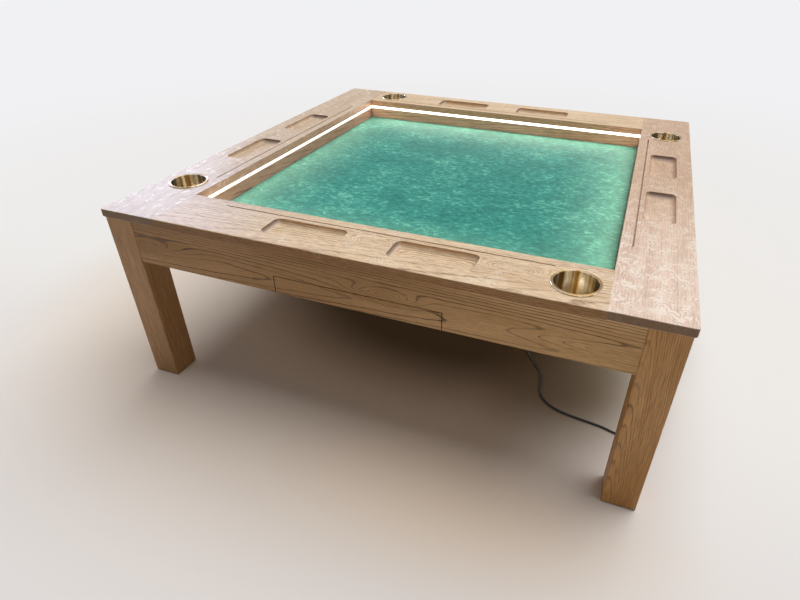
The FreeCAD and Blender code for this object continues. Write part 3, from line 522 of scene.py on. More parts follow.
    # faces cut across the grain: end grain outside, and the coves of trays and holes inside
    facing = add(tree, "Math", {0: normal[grain]}, operation="ABSOLUTE").outputs[0]
    sawn = add(tree, "MapRange", {0: facing, 1: 0.4, 2: 0.75, 3: 0.0, 4: 0.75}).outputs[0]
    steep = add(tree, "MapRange", {0: facing, 1: 0.6, 2: 0.98}).outputs[0]
    tint = add(tree, "Mix", {0: steep, 6: colour("#C8BAB4"), 7: colour(cove)},
               data_type="RGBA").outputs[2]
    tint = add(tree, "Mix", {0: outer, 6: tint, 7: colour(end)}, data_type="RGBA").outputs[2]
    ended = add(tree, "Mix", {0: sawn, 6: uprights_painted, 7: tint}, data_type="RGBA").outputs[2]
    tree.links.new(ended, shader.inputs["Base Color"])

    # the pores are matt and a little deeper than the wood between them
    rough = add(tree, "MapRange", {0: streak, 1: 0.3, 2: 0.7, 3: 0.56, 4: 0.40}).outputs[0]
    tree.links.new(rough, shader.inputs["Roughness"])
    relief = add(tree, "Math", {0: line, 1: -0.4, 2: streak}, operation="MULTIPLY_ADD").outputs[0]
    bump = add(tree, "Bump", {"Height": relief, "Strength": 0.6, "Distance": 0.3 * MM}).outputs[0]
    tree.links.new(bump, shader.inputs["Normal"])
    return made


print("a 5 mm ring is", round(1 / 0.005), "rings to the metre")

# %% [markdown]
# ## The four top boards
# The side boards run the full depth and the front and back boards stand between them. Each is
# routed for two tile trays with a cove round the floor, a narrow slot for cards and a hole for the
# cup. A box is eased along its outer edges only, because the inner edge and the butt joints are
# left crisp, and the long boards are rounded more, at the top's four corners and along their lower
# edges. The tray's cutter is rounded before it cuts.

# %% Top boards
HALF, WELL, BOARD_LOW, BOARD_TOP = 600.0, 461.5, 434.0, 452.0
TRAY_MID, TRAY_HALF_L, TRAY_HALF_W, TRAY_ACROSS, TRAY_FLOOR = 137.5, 84.5, 33.0, 530.0, 440.0
TRAY_CORNER_R, TRAY_COVE_R, TRAY_RIM_R = 13, 11.4, 0.8
SLOT_ACROSS, SLOT_HALF_L, SLOT_HALF_W, SLOT_FLOOR = 485.0, 358.0, 1.5, 444.0
CUP_ALONG, CUP_ACROSS, CUP_HOLE_R = 402.0, 532.0, 40.5
CORNER_R, UPPER_EDGE_R, LONG_LOWER_R, SHORT_LOWER_R = 5.0, 2.0, 3.0, 0.5
PAST = 5                                   # how far a cutter reaches past the wood


def on_edge(edge, axis, value):
    """True if both ends of an edge have this coordinate, in mm."""
    return all(abs(v.co[axis] - value * MM) < 1e-5 for v in edge.verts)


def tray_cutter(middle):
    """The shape that a router takes out for a tray, with round corners and a cove."""
    cutter = add_box("cutter", (middle - TRAY_HALF_L, -TRAY_ACROSS - TRAY_HALF_W, TRAY_FLOOR),
                     (middle + TRAY_HALF_L, -TRAY_ACROSS + TRAY_HALF_W, BOARD_TOP + PAST))
    ease(cutter, TRAY_CORNER_R, lambda edge: runs(edge, Z), segments=8)
    ease(cutter, TRAY_COVE_R, lambda edge: on_edge(edge, Z, TRAY_FLOOR), segments=8)
    return cutter


def top_board(name, half_length, full):
    """A board at the front of the table. A full one is as long as the top is deep."""
    board = add_box(name, (-half_length, -HALF, BOARD_LOW), (half_length, -WELL, BOARD_TOP))
    if full:
        ease(board, CORNER_R, lambda edge: runs(edge, Z) and on_edge(edge, Y, -HALF), segments=5)
    for level, radius in ((BOARD_TOP, UPPER_EDGE_R),
                          (BOARD_LOW, LONG_LOWER_R if full else SHORT_LOWER_R)):
        ease(board, radius, lambda edge: on_edge(edge, Z, level) and not on_edge(edge, Y, -WELL)
             and (full or on_edge(edge, Y, -HALF)))
    for middle in (-TRAY_MID, TRAY_MID):
        cut(board, tray_cutter(middle))
    cut(board, add_box("cutter", (-SLOT_HALF_L, -SLOT_ACROSS - SLOT_HALF_W, SLOT_FLOOR),
                       (SLOT_HALF_L, -SLOT_ACROSS + SLOT_HALF_W, BOARD_TOP + PAST)))
    drill = turned("cutter", [(CUP_HOLE_R, BOARD_LOW - PAST), (CUP_HOLE_R, BOARD_TOP + PAST)],
                   sides=96)
    drill.data.transform(Matrix.Translation((CUP_ALONG * MM, -CUP_ACROSS * MM, 0)))
    cut(board, drill)
    # a tray's rim is sharp, lies in the top and is clear of the slot, the outer edge and the cup
    rims = ease(board, TRAY_RIM_R,
                lambda edge: on_edge(edge, Z, BOARD_TOP) and edge.calc_face_angle(0) > 1.0
                and max(v.co.y for v in edge.verts) < -(SLOT_ACROSS + 5) * MM
                and min(v.co.y for v in edge.verts) > -(HALF - 5) * MM
                and max(abs(v.co.x) for v in edge.verts) < 300 * MM, segments=2)
    print(name, "has", rims, "rim edges eased")
    return smooth(board)


board_front = top_board("oak_board_front", WELL, False)
board_right = copied(top_board("oak_board_long", HALF, True), "oak_board_right", 1)
board_back = copied(board_front, "oak_board_back", 2)
board_left = copied(board_right, "oak_board_left", 2)
bpy.data.objects.remove(bpy.data.objects["oak_board_long"])
# painted shade: the outer sides' tint darkens and warms upright faces, the front board's most, and
# the tray walls' tint does so lightly; the well edges' pink tints cancel the velvet's green light,
# and the side boards' duller one also damps the strips' glow
SIDE_SHADE, TRAY_WALL_SHADE = "#C4A983", "#EEDCC4"
EDGE_GREEN_FIX, EDGE_SHADED_GREEN_FIX = "#FFDEDE", "#F4D6D6"
# the front board's pale tint is a painted reflection of the window's glare, at its left end
finish_piece(board_front, "top_board_front",
             oak("washed oak, front board", X, (-0.60, 0.33), ring=4.5, taper=-0.03, lines=1.1,
                 light="#F6DAB6", warm="#E4C29A", dark="#9A744C", side="#B29670",
                 inside=EDGE_GREEN_FIX, tray=TRAY_WALL_SHADE, dashes=0.38, fine=(50, 420),
                 pale=(-0.05, -0.42, "#E0DEDC"), rays=0.3, ray_size=(9, 55), curl=1.4,
                 eyes=((0.01, -0.527, 0.09, 0.030, 0.05),
                       (0.29, -0.525, 0.12, 0.034, 0.05))))
# the right board's pale tint leaves its front end lighter, a painted highlight
finish_piece(board_right, "top_board_right",
             oak("washed oak, right board", Y, (0.10, 0.44), ring=5.5, taper=0.004, wave=0.9,
                 lines=0.35,
                 light="#F8DDC8", warm="#E8CAB4", dark="#A88A7A", rays=0.75, ray_size=(13, 30),
                 curl=1.9, patches=0.10, flock=(1.3, -0.6), pale=(-0.55, 0.1, "#DED0BE"),
                 seam=0.511, side=SIDE_SHADE, inside=EDGE_SHADED_GREEN_FIX, tray=TRAY_WALL_SHADE, dashes=0.25,
                 fine=(45, 400)))
finish_piece(board_back, "top_board_back",
             oak("washed oak, back board", X, (0.56, 0.36), ring=5, taper=0.02, lines=0.5,
                 light="#F2D4AE", warm="#E2C096", shift=1.3, side=SIDE_SHADE, inside=EDGE_GREEN_FIX,
                 tray=TRAY_WALL_SHADE, fine=(50, 420)))
# the left board's pale tint is a painted reflection of the window's glare, cool toward its front
# end
finish_piece(board_left, "top_board_left",
             oak("washed oak, left board", Y, (-0.15, 0.43), ring=5, taper=0.01, lines=0.4,
                 light="#DCC4A8", warm="#CBAE8E", rays=0.5, ray_size=(10, 24), curl=1.0,
                 shift=2.1, pale=(-0.1, -0.5, "#F0F4F8"), side=SIDE_SHADE, inside=EDGE_SHADED_GREEN_FIX,
                 tray=TRAY_WALL_SHADE, fine=(40, 420)))

# %% [markdown]
# ## Legs
# Square legs stand a little inside the top's edge. They are sawn boxes with softened edges, and
# they look darker than the top, as little light falls on upright faces and their colours are
# painted darker and browner as well, painted shade. The front right leg is lighter and warmer
# than the others.

# %% Legs
LEG_IN, LEG_OUT, PAD_T = 528.0, 596.0, 2.0
leg = add_box("oak_leg", (LEG_IN, -LEG_OUT, PAD_T), (LEG_OUT, -LEG_IN, BOARD_LOW))
ease(leg, 2.5, lambda edge: runs(edge, Z))
ease(leg, 1.0, lambda edge: on_edge(edge, Z, PAD_T), segments=2)
smooth(leg)
CORNERS = (("front_right", 0), ("back_right", 1), ("back_left", 2), ("front_left", 3))
LEG_HEARTS = {"front_right": (0.533, -0.578), "back_right": (0.60, 0.66),
              "back_left": (-0.65, 0.60), "front_left": (-0.50, -0.66)}
for corner, quarter in CORNERS:
    # painted shade: the legs' colours are darker and browner than the top's; the front right leg's
    # are lighter and warmer than the other legs'
    light, warm, lines = ("#BC9060", "#A87C4C", 0.5) if quarter else ("#CE9C62", "#B88242", 0.7)
    plank = oak("washed oak, leg " + corner, Z, LEG_HEARTS[corner], ring=3.4, taper=0.07, sway=2,
                wave=0.3, lines=lines, open_pores=0.3, light=light, warm=warm, dark="#4A2C10",
                shift=quarter * 0.7)
    finish_piece(copied(leg, "oak_leg_" + corner, quarter), "leg_" + corner, plank)
bpy.data.objects.remove(leg)
print("legs stand", round(2 * LEG_OUT), "mm apart over their outer faces")

# %% [markdown]
# ## Aprons and drawer faces
# The aprons run between the legs, each with a notch that its drawer's face fills. A face is cut
# from the apron's own plank, so the figure runs on across the gaps. The planks are cut beside the
# heart, so their rings lie almost along the face and make long arches, and closed ovals where they
# swell.

# %% Aprons and drawer faces
APRON_IN, APRON_OUT, APRON_LOW = 574.5, 594.5, 333.5
NOTCH_HALF, NOTCH_TOP, FACE_HALF, FACE_TOP = 181.5, 374.0, 180.0, 372.5
GROOVE_HALF, GROOVE_NEAR, GROOVE_FAR, GROOVE_DEEP = 60, 589.5, 579.5, 8
apron = add_box("oak_apron", (-LEG_IN, -APRON_OUT, APRON_LOW), (LEG_IN, -APRON_IN, BOARD_LOW))
ease(apron, 1.0, lambda edge: on_edge(edge, Z, APRON_LOW) and runs(edge, X), segments=2)
cut(apron, add_box("cutter", (-NOTCH_HALF, -APRON_OUT - PAST, APRON_LOW - PAST),
                   (NOTCH_HALF, -APRON_IN + PAST, NOTCH_TOP)))
smooth(apron)
drawer_face = add_box("oak_drawer_face", (-FACE_HALF, -APRON_OUT, APRON_LOW),
                      (FACE_HALF, -APRON_IN, FACE_TOP))
ease(drawer_face, 0.8, lambda edge: on_edge(edge, Y, -APRON_OUT) or on_edge(edge, Z, APRON_LOW),
     segments=2)
groove = add_box("cutter", (-GROOVE_HALF, -GROOVE_NEAR, APRON_LOW - PAST),
                 (GROOVE_HALF, -GROOVE_FAR, APRON_LOW + GROOVE_DEEP))
ease(groove, 4.9, lambda edge: runs(edge, Z), segments=6)
ease(groove, 2.0, lambda edge: on_edge(edge, Z, APRON_LOW + GROOVE_DEEP), segments=3)
cut(drawer_face, groove)
smooth(drawer_face)
SIDES = (("front", 0), ("right", 1), ("back", 2), ("left", 3))
APRON_HEARTS = {"front": (-0.532, 0.366), "right": (0.532, 0.367),
                "back": (0.532, 0.369), "left": (-0.532, 0.367)}
APRON_EYES = {
    "front": ((0.068, 0.383, 0.115, 0.031, 0.023), (0.02, 0.386, 0.27, 0.036, 0.007),
              (0.50, 0.368, 0.40, 0.030, 0.021), (0.21, 0.370, 0.17, 0.05, 0.0026),
              (-0.50, 0.384, 0.22, 0.034, 0.019)),
    "right": ((-0.08, 0.384, 0.13, 0.031, 0.021), (-0.50, 0.370, 0.40, 0.030, 0.019),
              (0.42, 0.382, 0.30, 0.034, 0.018)),
    "back": ((0.12, 0.382, 0.16, 0.030, 0.020), (-0.46, 0.372, 0.38, 0.032, 0.021),
             (0.50, 0.386, 0.26, 0.034, 0.017)),
    "left": ((-0.15, 0.385, 0.15, 0.030, 0.022), (0.45, 0.370, 0.40, 0.030, 0.020),
             (-0.52, 0.380, 0.24, 0.032, 0.017)),
}
for side, quarter in SIDES:
    grain = X if side in ("front", "back") else Y
    # painted shade: the aprons' colours are darker and browner than the top's, and their faces
    # across the grain, which show in the drawer gaps, are near black; pale darkens each apron
    # towards one end
    plank = oak("washed oak, apron " + side, grain, APRON_HEARTS[side], ring=3.8, taper=0.012,
                sway=3, wave=0.25, lines=1.2, open_pores=0.3, thin=0.8, dashes=0.28,
                fine=(40, 560), light="#DCB07A", warm="#C2965C", dark="#4C2E15", end="#2E2016",
                cove="#2E2016", pale=(0.5, -0.1, "#D2C8BA"), eyes=APRON_EYES[side], eye_axis=2,
                shift=quarter * 1.9)
    finish_piece(copied(apron, "oak_apron_" + side, quarter), "apron_" + side, plank)
    finish_piece(copied(drawer_face, "oak_drawer_face_" + side, quarter), side + "_drawer_face",
                 plank, side + "_drawer")
for pattern in (apron, drawer_face):
    bpy.data.objects.remove(pattern)
print("drawer gap is", NOTCH_HALF - FACE_HALF, "mm")

# %% [markdown]
# ## Brass cups
# Each cup is spun from sheet brass: a disc pressed over a form as it turns. A turned profile gives
# the thin wall, the rounded foot and the rolled rim that holds the cup on the board. Spinning and
# polishing leave fine lines around it, which spread a reflection up and down the wall as streaks,
# and pale and dark bands in its colour are painted reflections that add to them.

# %% Cups
CUP_R, CUP_WALL, FLANGE_R, CUP_SEAT, CUP_DEPTH = 40.0, 0.75, 45.0, 452.3, 62.0
FOOT_R, INNER_FOOT_R, RIM_R = 6, 5.25, 0.9
cup_foot = CUP_SEAT - CUP_DEPTH
profile = [(1.0, cup_foot)]
for step in range(7):         # outer foot
    a = math.radians(90 * step / 6)
    profile.append((CUP_R - FOOT_R + FOOT_R * math.sin(a),
                    cup_foot + FOOT_R - FOOT_R * math.cos(a)))
profile += [(CUP_R, CUP_SEAT), (FLANGE_R - RIM_R, CUP_SEAT)]
for step in range(1, 6):      # rolled rim
    a = math.radians(180 * step / 5)
    profile.append((FLANGE_R - RIM_R + RIM_R * math.sin(a), CUP_SEAT + 1 - math.cos(a)))
inner = CUP_R - CUP_WALL
profile += [(FLANGE_R - 1.9, CUP_SEAT + 1.5), (inner + 2.4, CUP_SEAT + 1.1),
            (inner + 1.2, CUP_SEAT + 1.7), (inner + 0.5, CUP_SEAT + 1.7), (inner, CUP_SEAT + 1.0)]
for step in range(7):         # inner foot
    a = math.radians(90 - 90 * step / 6)
    profile.append((inner - INNER_FOOT_R + INNER_FOOT_R * math.sin(a),
                    cup_foot + CUP_WALL + INNER_FOOT_R - INNER_FOOT_R * math.cos(a)))
profile.append((1.0, cup_foot + CUP_WALL))
cup = turned("brass_cup", profile, sides=96)
smooth(cup, 50)


def brass(name, centre):
    """Polished spun brass. Its gloss varies around the cup's own axis, and pale and dark bands in
    its colour there are painted reflections, streaks up the wall. The rim and floor, which face up,
    are duller and painted browner and darker, painted shade that mutes the lamps' reflection there."""
    made, tree, shader = new_finish(name, Metallic=1.0, Anisotropic=0.85, Anisotropic_Rotation=0.25)
    place = add(tree, "TexCoord").outputs["Object"]
    centred = add(tree, "Mapping", {0: place, "Location": (-centre[0], -centre[1], 0)}).outputs[0]
    around = add(tree, "TexGradient", {0: centred}, gradient_type="RADIAL").outputs[1]
    around = add(tree, "Math", {0: around, 1: 0.036}, operation="ADD").outputs[0]
    bands = add(tree, "TexNoise", {"W": around, "Scale": 9.0, "Detail": 2.0, "Roughness": 0.6},
                noise_dimensions="1D").outputs[0]
    # painted reflections: pale and dark bands around the cup's axis
    tint = add(tree, "ValToRGB", {0: bands},
               stops=((0.42, "#AC9060"), (0.56, "#FFFEF8"), (0.48, "#F4E6C0"))).outputs[0]
    # painted shade: faces that look up are darker and browner
    level = add(tree, "SeparateXYZ", {0: add(tree, "TexCoord").outputs["Normal"]}).outputs[2]
    level = add(tree, "MapRange", {0: level, 1: 0.75, 2: 0.97}).outputs[0]
    tint = add(tree, "Mix", {0: level, 6: tint, 7: colour("#987E58")}, data_type="RGBA").outputs[2]
    tree.links.new(tint, shader.inputs["Base Color"])
    gloss = add(tree, "MapRange", {0: bands, 1: 0.3, 2: 0.7, 3: 0.26, 4: 0.14}).outputs[0]
    gloss = add(tree, "Math", {0: level, 1: 0.25, 2: gloss}, operation="MULTIPLY_ADD").outputs[0]
    tree.links.new(gloss, shader.inputs["Roughness"])
    upright = add(tree, "Tangent", direction_type="RADIAL", axis="Z").outputs[0]
    tree.links.new(upright, shader.inputs["Tangent"])
    return made


for side, quarter in SIDES:
    at = quarter_turn(quarter) @ Vector((CUP_ALONG * MM, -CUP_ACROSS * MM, 0))
    piece = bpy.data.objects.new("brass_cup_" + side, cup.data.copy())
    piece.data.transform(Matrix.Translation(at))
    bpy.context.scene.collection.objects.link(piece)
    finish_piece(piece, side + "_cup_holder", brass("spun brass, " + side, at),
                 side + "_cup")
bpy.data.objects.remove(cup)
print("cup holds", round(math.pi * (inner / 10) ** 2 * (CUP_DEPTH - CUP_WALL) / 10), "ml")

# %% [markdown]
# ## The velvet field
# The cloth is crushed velvet, pulled over a thin board and tucked under its edges. Velvet's pile
# stands up, so its colour changes with the way each patch was pressed: that is the mottling. A thin
# sheet follows the board and rolls over its edges, with a Solidify modifier for the pile's depth.

# %% Velvet
VELVET_TOP, VELVET_HALF, ROLL, CLOTH_T = 395.0, 461.2, 2.0, 1.2
BACKING_HALF, BACKING_LOW, BACKING_TOP = 459.8, 390.02, 393.7
nothing_selected()
bpy.ops.mesh.primitive_grid_add(x_subdivisions=90, y_subdivisions=90,
                                size=2 * (VELVET_HALF - ROLL) * MM,
                                location=(0, 0, VELVET_TOP * MM))
velvet = settled("velvet_cloth")
select(velvet, "EDGE", lambda edge: edge.is_boundary)
reach, level = VELVET_HALF - ROLL, VELVET_TOP
for out, down in ((0.76, 0.15), (1.41, 0.59), (1.85, 1.24), (2.0, 2.0), (2.0, 4.4)):
    new_reach = VELVET_HALF - ROLL + out
    drop = (VELVET_TOP - down - level) * MM
    bpy.ops.mesh.extrude_region_move(TRANSFORM_OT_translate={"value": (0, 0, drop)})
    scale = new_reach / reach
    bpy.ops.transform.resize(value=(scale, scale, 1), center_override=(0, 0, 0))
    reach, level = new_reach, VELVET_TOP - down
bpy.ops.object.mode_set(mode="OBJECT")
only(velvet)
thick = velvet.modifiers.new("pile", "SOLIDIFY")
thick.thickness, thick.offset = CLOTH_T * MM, -1
bpy.ops.object.modifier_apply(modifier=thick.name)
bpy.ops.object.shade_smooth()
pad_board = add_box("velvet_board", (-BACKING_HALF, -BACKING_HALF, BACKING_LOW),
                    (BACKING_HALF, BACKING_HALF, BACKING_TOP))
ease(pad_board, 0.8, lambda edge: on_edge(edge, Z, BACKING_TOP), segments=2)

# teal pile that is pale where it leans to the eye, with a low soft sheen, and paler towards the
# rim, painted light where the strips' light falls
cloth_finish, tree, shader = new_finish(
    "crushed velvet, teal green", Roughness=0.7, Specular_IOR_Level=0.2, Sheen_Weight=0.1,
    Sheen_Roughness=0.4, Sheen_Tint=colour("#B4EFDA"))
place = add(tree, "TexCoord").outputs["Object"]
warp = add(tree, "TexNoise", {"Vector": place, "Scale": 22.0, "Detail": 3.0}).outputs["Color"]
warped = add(tree, "VectorMath", {0: warp, 1: (0.03, 0.03, 0), 2: place},
             operation="MULTIPLY_ADD").outputs[0]
brushed = add(tree, "Mapping", {0: warped, "Scale": (75, 135, 75)}).outputs[0]
crushed = add(tree, "TexNoise",
              {"Vector": brushed, "Scale": 1.0, "Detail": 5.0, "Roughness": 0.68}).outputs[0]
clouds = add(tree, "TexNoise",
             {"Vector": warped, "Scale": 9.0, "Detail": 4.0, "Roughness": 0.6}).outputs[0]
pile = add(tree, "Math", {0: clouds, 1: 0.45, 2: crushed}, operation="MULTIPLY_ADD").outputs[0]
sides = add(tree, "SeparateXYZ", {0: place}).outputs
sides = [add(tree, "Math", {0: sides[i]}, operation="ABSOLUTE").outputs[0] for i in (X, Y)]
# painted light: the cloth is paler towards its rim, where the strips' light falls
rim = add(tree, "Math", {0: sides[0], 1: sides[1], 2: 0.08}, operation="SMOOTH_MAX").outputs[0]
rim = add(tree, "MapRange", {0: rim, 1: 0.24, 2: 0.50, 3: 0.0, 4: 0.26},
          interpolation_type="SMOOTHSTEP").outputs[0]
pile_and_rim_light = add(tree, "ValToRGB", {0: pile},
           stops=((0.59, "#0E6A62"), (0.94, "#74C0A6"), (0.785, "#2E8E80"))).outputs[0]
pile_and_rim_light = add(tree, "Mix", {0: rim, 6: pile_and_rim_light, 7: colour("#A8BE9C")}, data_type="RGBA").outputs[2]
tree.links.new(pile_and_rim_light, shader.inputs["Base Color"])
crush = add(tree, "Bump", {"Height": crushed, "Strength": 0.5, "Distance": 0.8 * MM}).outputs[0]
tree.links.new(crush, shader.inputs["Normal"])
finish_piece(velvet, "velvet_pad", cloth_finish)
print("cloth faces:", len(velvet.data.polygons))

# %% [markdown]
# ## The light strip's cover
# One frame of opal acrylic closes the channel under the boards. The tape behind it shows as a
# bright core that falls off to its edges, and sooner on the left and right sides. Its own glow is
# only a thin line to look at: narrow lamps, further down, throw the strip's light into the well.

# %% Light cover
COVER_IN, COVER_OUT, COVER_LOW, COVER_HIGH = 0.5, 1.15, 424.55, 433.95   # first two past the well
GLOW_LOW, GLOW_HIGH = 0.4245, 0.434        # in metres
opal, tree, shader = new_finish("opal acrylic, lit", Roughness=0.35, Base_Color=colour("#F4F2EC"))
shader.inputs["Emission Color"].default_value = colour("#FFF4E0")
place = add(tree, "TexCoord").outputs["Object"]
height = add(tree, "SeparateXYZ", {0: place}).outputs[2]
height = add(tree, "MapRange", {0: height, 1: GLOW_LOW, 2: GLOW_HIGH, 3: -1.0, 4: 1.0}).outputs[0]
height = add(tree, "Math", {0: height}, operation="ABSOLUTE").outputs[0]
sideways = add(tree, "SeparateXYZ", {0: add(tree, "TexCoord").outputs["Normal"]}).outputs[0]
sideways = add(tree, "Math", {0: sideways}, operation="ABSOLUTE").outputs[0]
sideways = add(tree, "Math", {0: sideways, 1: 1.0, 2: 1.0}, operation="MULTIPLY_ADD").outputs[0]
height = add(tree, "Math", {0: height, 1: sideways}, operation="MULTIPLY").outputs[0]
glow = add(tree, "MapRange", {0: height, 1: 0.4, 2: 0.85, 3: 6.0, 4: 0.4}).outputs[0]
tree.links.new(glow, shader.inputs["Emission Strength"])
opal_cover = add_box("opal_cover", (-WELL - COVER_OUT, -WELL - COVER_OUT, COVER_LOW),
                     (WELL + COVER_OUT, WELL + COVER_OUT, COVER_HIGH))
cut(opal_cover, add_box("cutter", (-WELL - COVER_IN, -WELL - COVER_IN, COVER_LOW - PAST),
                        (WELL + COVER_IN, WELL + COVER_IN, COVER_HIGH + PAST)))
ease(opal_cover, 0.3, lambda edge: not runs(edge, Z) and max(
    abs(v.co[axis]) for v in edge.verts for axis in (X, Y)) < (WELL + 0.8) * MM, segments=2)
finish_piece(smooth(opal_cover), "led_diffusers", opal)
print("light cover is", round(COVER_OUT - COVER_IN, 2), "mm thick")

# %% [markdown]
# ## Finishes of the small parts
# The hidden carcase is beech and birch plywood, the fixings are zinc-plated steel, and the light
# strip's channel is anodised. None needs a new shape, so these CAD nodes keep their mesh and get
# the finish that the real part has. The well's walls are oak, like the boards above them.

# %% Simple finishes
def plain_wood(name, light, dark, grain_scale):
    """A close-grained wood without much figure, such as beech; grain_scale is streaks per metre
    along X, Y and Z."""
    made, tree, shader = new_finish(name, Roughness=0.55)
    place = add(tree, "TexCoord").outputs["Object"]
    drawn = add(tree, "Mapping", {0: place, "Scale": grain_scale}).outputs[0]
    streak = add(tree, "TexNoise", {"Vector": drawn, "Scale": 1.0, "Detail": 4.0}).outputs[0]
    tint = add(tree, "ValToRGB", {0: streak}, stops=((0.3, dark), (0.7, light))).outputs[0]
    tree.links.new(tint, shader.inputs["Base Color"])
    grain_relief = add(tree, "Bump",
                       {"Height": streak, "Strength": 0.3, "Distance": 0.1 * MM}).outputs[0]
    tree.links.new(grain_relief, shader.inputs["Normal"])
    return made


def speckled(name, light, dark, per_mm, depth, **sockets):
    """A fine even texture, such as a mould's grain, felt or plating."""
    made, tree, shader = new_finish(name, **sockets)
    place = add(tree, "TexCoord").outputs["Object"]
    grit = add(tree, "TexNoise",
               {"Vector": place, "Scale": per_mm * 1000, "Detail": 3.0}).outputs[0]
    tint = add(tree, "ValToRGB", {0: grit}, stops=((0.35, dark), (0.65, light))).outputs[0]
    tree.links.new(tint, shader.inputs["Base Color"])
    grit_relief = add(tree, "Bump",
                      {"Height": grit, "Strength": 0.4, "Distance": depth * MM}).outputs[0]
    tree.links.new(grit_relief, shader.inputs["Normal"])
    return made


# beech is even and pinkish, and birch veneer is paler and streaked along the sheet
beech = plain_wood("sanded beech", "#D2A87C", "#B98B60", (60, 60, 60))
plywood = plain_wood("sanded birch plywood", "#D9BE93", "#C4A377", (12, 90, 300))
# zinc plate is bluish and half dull, and felt swallows nearly all light
zinc = speckled("zinc-plated steel", "#C9CBCB", "#A9ADB0", 0.4, 0.02, Metallic=1.0, Roughness=0.38)
felt = speckled("pressed wool felt", "#3A3430", "#241F1C", 1.2, 0.3, Roughness=0.95)
# a mould's fine spark texture takes the gloss off ABS, and anodising leaves a satin metal
abs_white = speckled("moulded ABS, white", "#E4E4E0", "#DADAD6", 0.8, 0.04, Roughness=0.45)
anodised = speckled("anodised aluminium", "#D4D6D8", "#BFC2C5", 0.5, 0.01, Metallic=1.0,
                    Roughness=0.35)
# PVC has a soft shine, nickel a clear and slightly warm one, and the tape shows phosphor spots
pvc = speckled("extruded PVC, black", "#1C1815", "#120F0D", 0.9, 0.03, Roughness=0.42)
nickel = speckled("nickel-plated brass", "#D6D0C4", "#BDB7AB", 0.5, 0.01, Metallic=1.0,
                  Roughness=0.22)
tape = speckled("light tape, white mask", "#EFEDE2", "#D9C878", 0.12, 0.1, Roughness=0.4)

FINISHES = {
    "beech": beech, "plywood": plywood, "zinc_steel": zinc, "felt": felt,
    "driver_plastic": abs_white, "aluminium": anodised, "black_pvc": pvc, "led_tape": tape,
}
WALL_HEARTS = {"front": (-0.55, 0.47), "right": (0.56, 0.38), "back": (0.56, 0.47),
               "left": (-0.56, 0.38)}
for side, quarter in SIDES:
    grain = X if side in ("front", "back") else Y
    # painted colour against the velvet's green light: the well side's tint is pink on the front and
    # back walls; on the left and right walls it is darker and greyer
    wall = oak("washed oak, wall " + side, grain, WALL_HEARTS[side], ring=5, taper=0.04, sway=4,
               lines=0.55, light="#F8D6BC", warm="#E6C0A2", shift=3 + quarter * 1.1,
               inside="#FFE8E0" if grain == X else "#C6B4B0")
    for slot in nodes["well_wall_" + side].material_slots:
        slot.material = wall
slots = {row["node"]: row["material_slot"] for row in frame["record"]["subparts"]}
dressed = 0
for name, node in nodes.items():
    if node.hide_render or slots.get(name) not in FINISHES:
        continue
    for slot in node.material_slots:
        slot.material = FINISHES[slots[name]]
    dressed += 1
print("CAD nodes dressed:", dressed)

# %% [markdown]
# ## The cord's pieces and the cloth's board
# The cord leaves the driver, hangs loose and carries its plug and strain reliefs; these pieces get
# PVC and the pins nickel, and the CAD cord and coil are hidden. The cloth is one square, stretched
# over the pad's board, which lies on the panel and gets birch plywood.

# %% Cord, plug and cloth board finishes
for piece, replaced, look in ((cord, None, pvc), (driver_relief, "cord_gland", pvc),
                              (plug_body, "mains_plug", pvc), (plug_relief, None, pvc),
                              (plug_pins, None, nickel)):
    finish_piece(piece, replaced, look)
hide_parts("power_cord", "cord_coil")
finish_piece(pad_board, None, plywood)
print("pieces on the cord: 4, and the cloth is", 2 * VELVET_HALF, "mm across between its edges")

# %% [markdown]
# ## Floor
# A plain pale floor runs far back. Its paint is a little darker and warmer toward the front,
# painted shade, and soft ovals in its paint are painted shade under and beside the table, a little
# deeper and warmer than the lamps make it, with one painted pool of warmer light in front of it.
# Far from the table the floor fades into the pale backdrop, but only where it is looked at, so the
# light that it sends back stays that of paint.

# %% Floor
def looked_at(tree):
    """1 for a ray from the eye, also by a mirror or through glass, and 0 for light that spreads."""
    ray = add(tree, "LightPath").outputs
    seen = add(tree, "Math", {0: ray["Is Camera Ray"], 1: ray["Is Glossy Ray"]},
               operation="MAXIMUM").outputs[0]
    return add(tree, "Math", {0: seen, 1: ray["Is Transmission Ray"]},
               operation="MAXIMUM").outputs[0]


BACKDROP = colour("#F1F1F4")
nothing_selected()
bpy.ops.mesh.primitive_plane_add(size=60, location=(0, 0, 0))
floor = bpy.context.object
floor.name = "floor"
floor_finish, tree, shader = new_finish("studio floor", Roughness=0.9, Specular_IOR_Level=0.0)
place = add(tree, "TexCoord").outputs["Object"]
# painted shade: the floor's paint is a little darker and warmer toward the front
depth = add(tree, "SeparateXYZ", {0: place}).outputs[1]
depth = add(tree, "MapRange", {0: depth, 1: -1.07, 2: -0.1},
            interpolation_type="SMOOTHSTEP").outputs[0]
paint = add(tree, "Mix", {0: depth, 6: colour("#E4DFDC"), 7: colour("#F2F0ED")},
            data_type="RGBA").outputs[2]
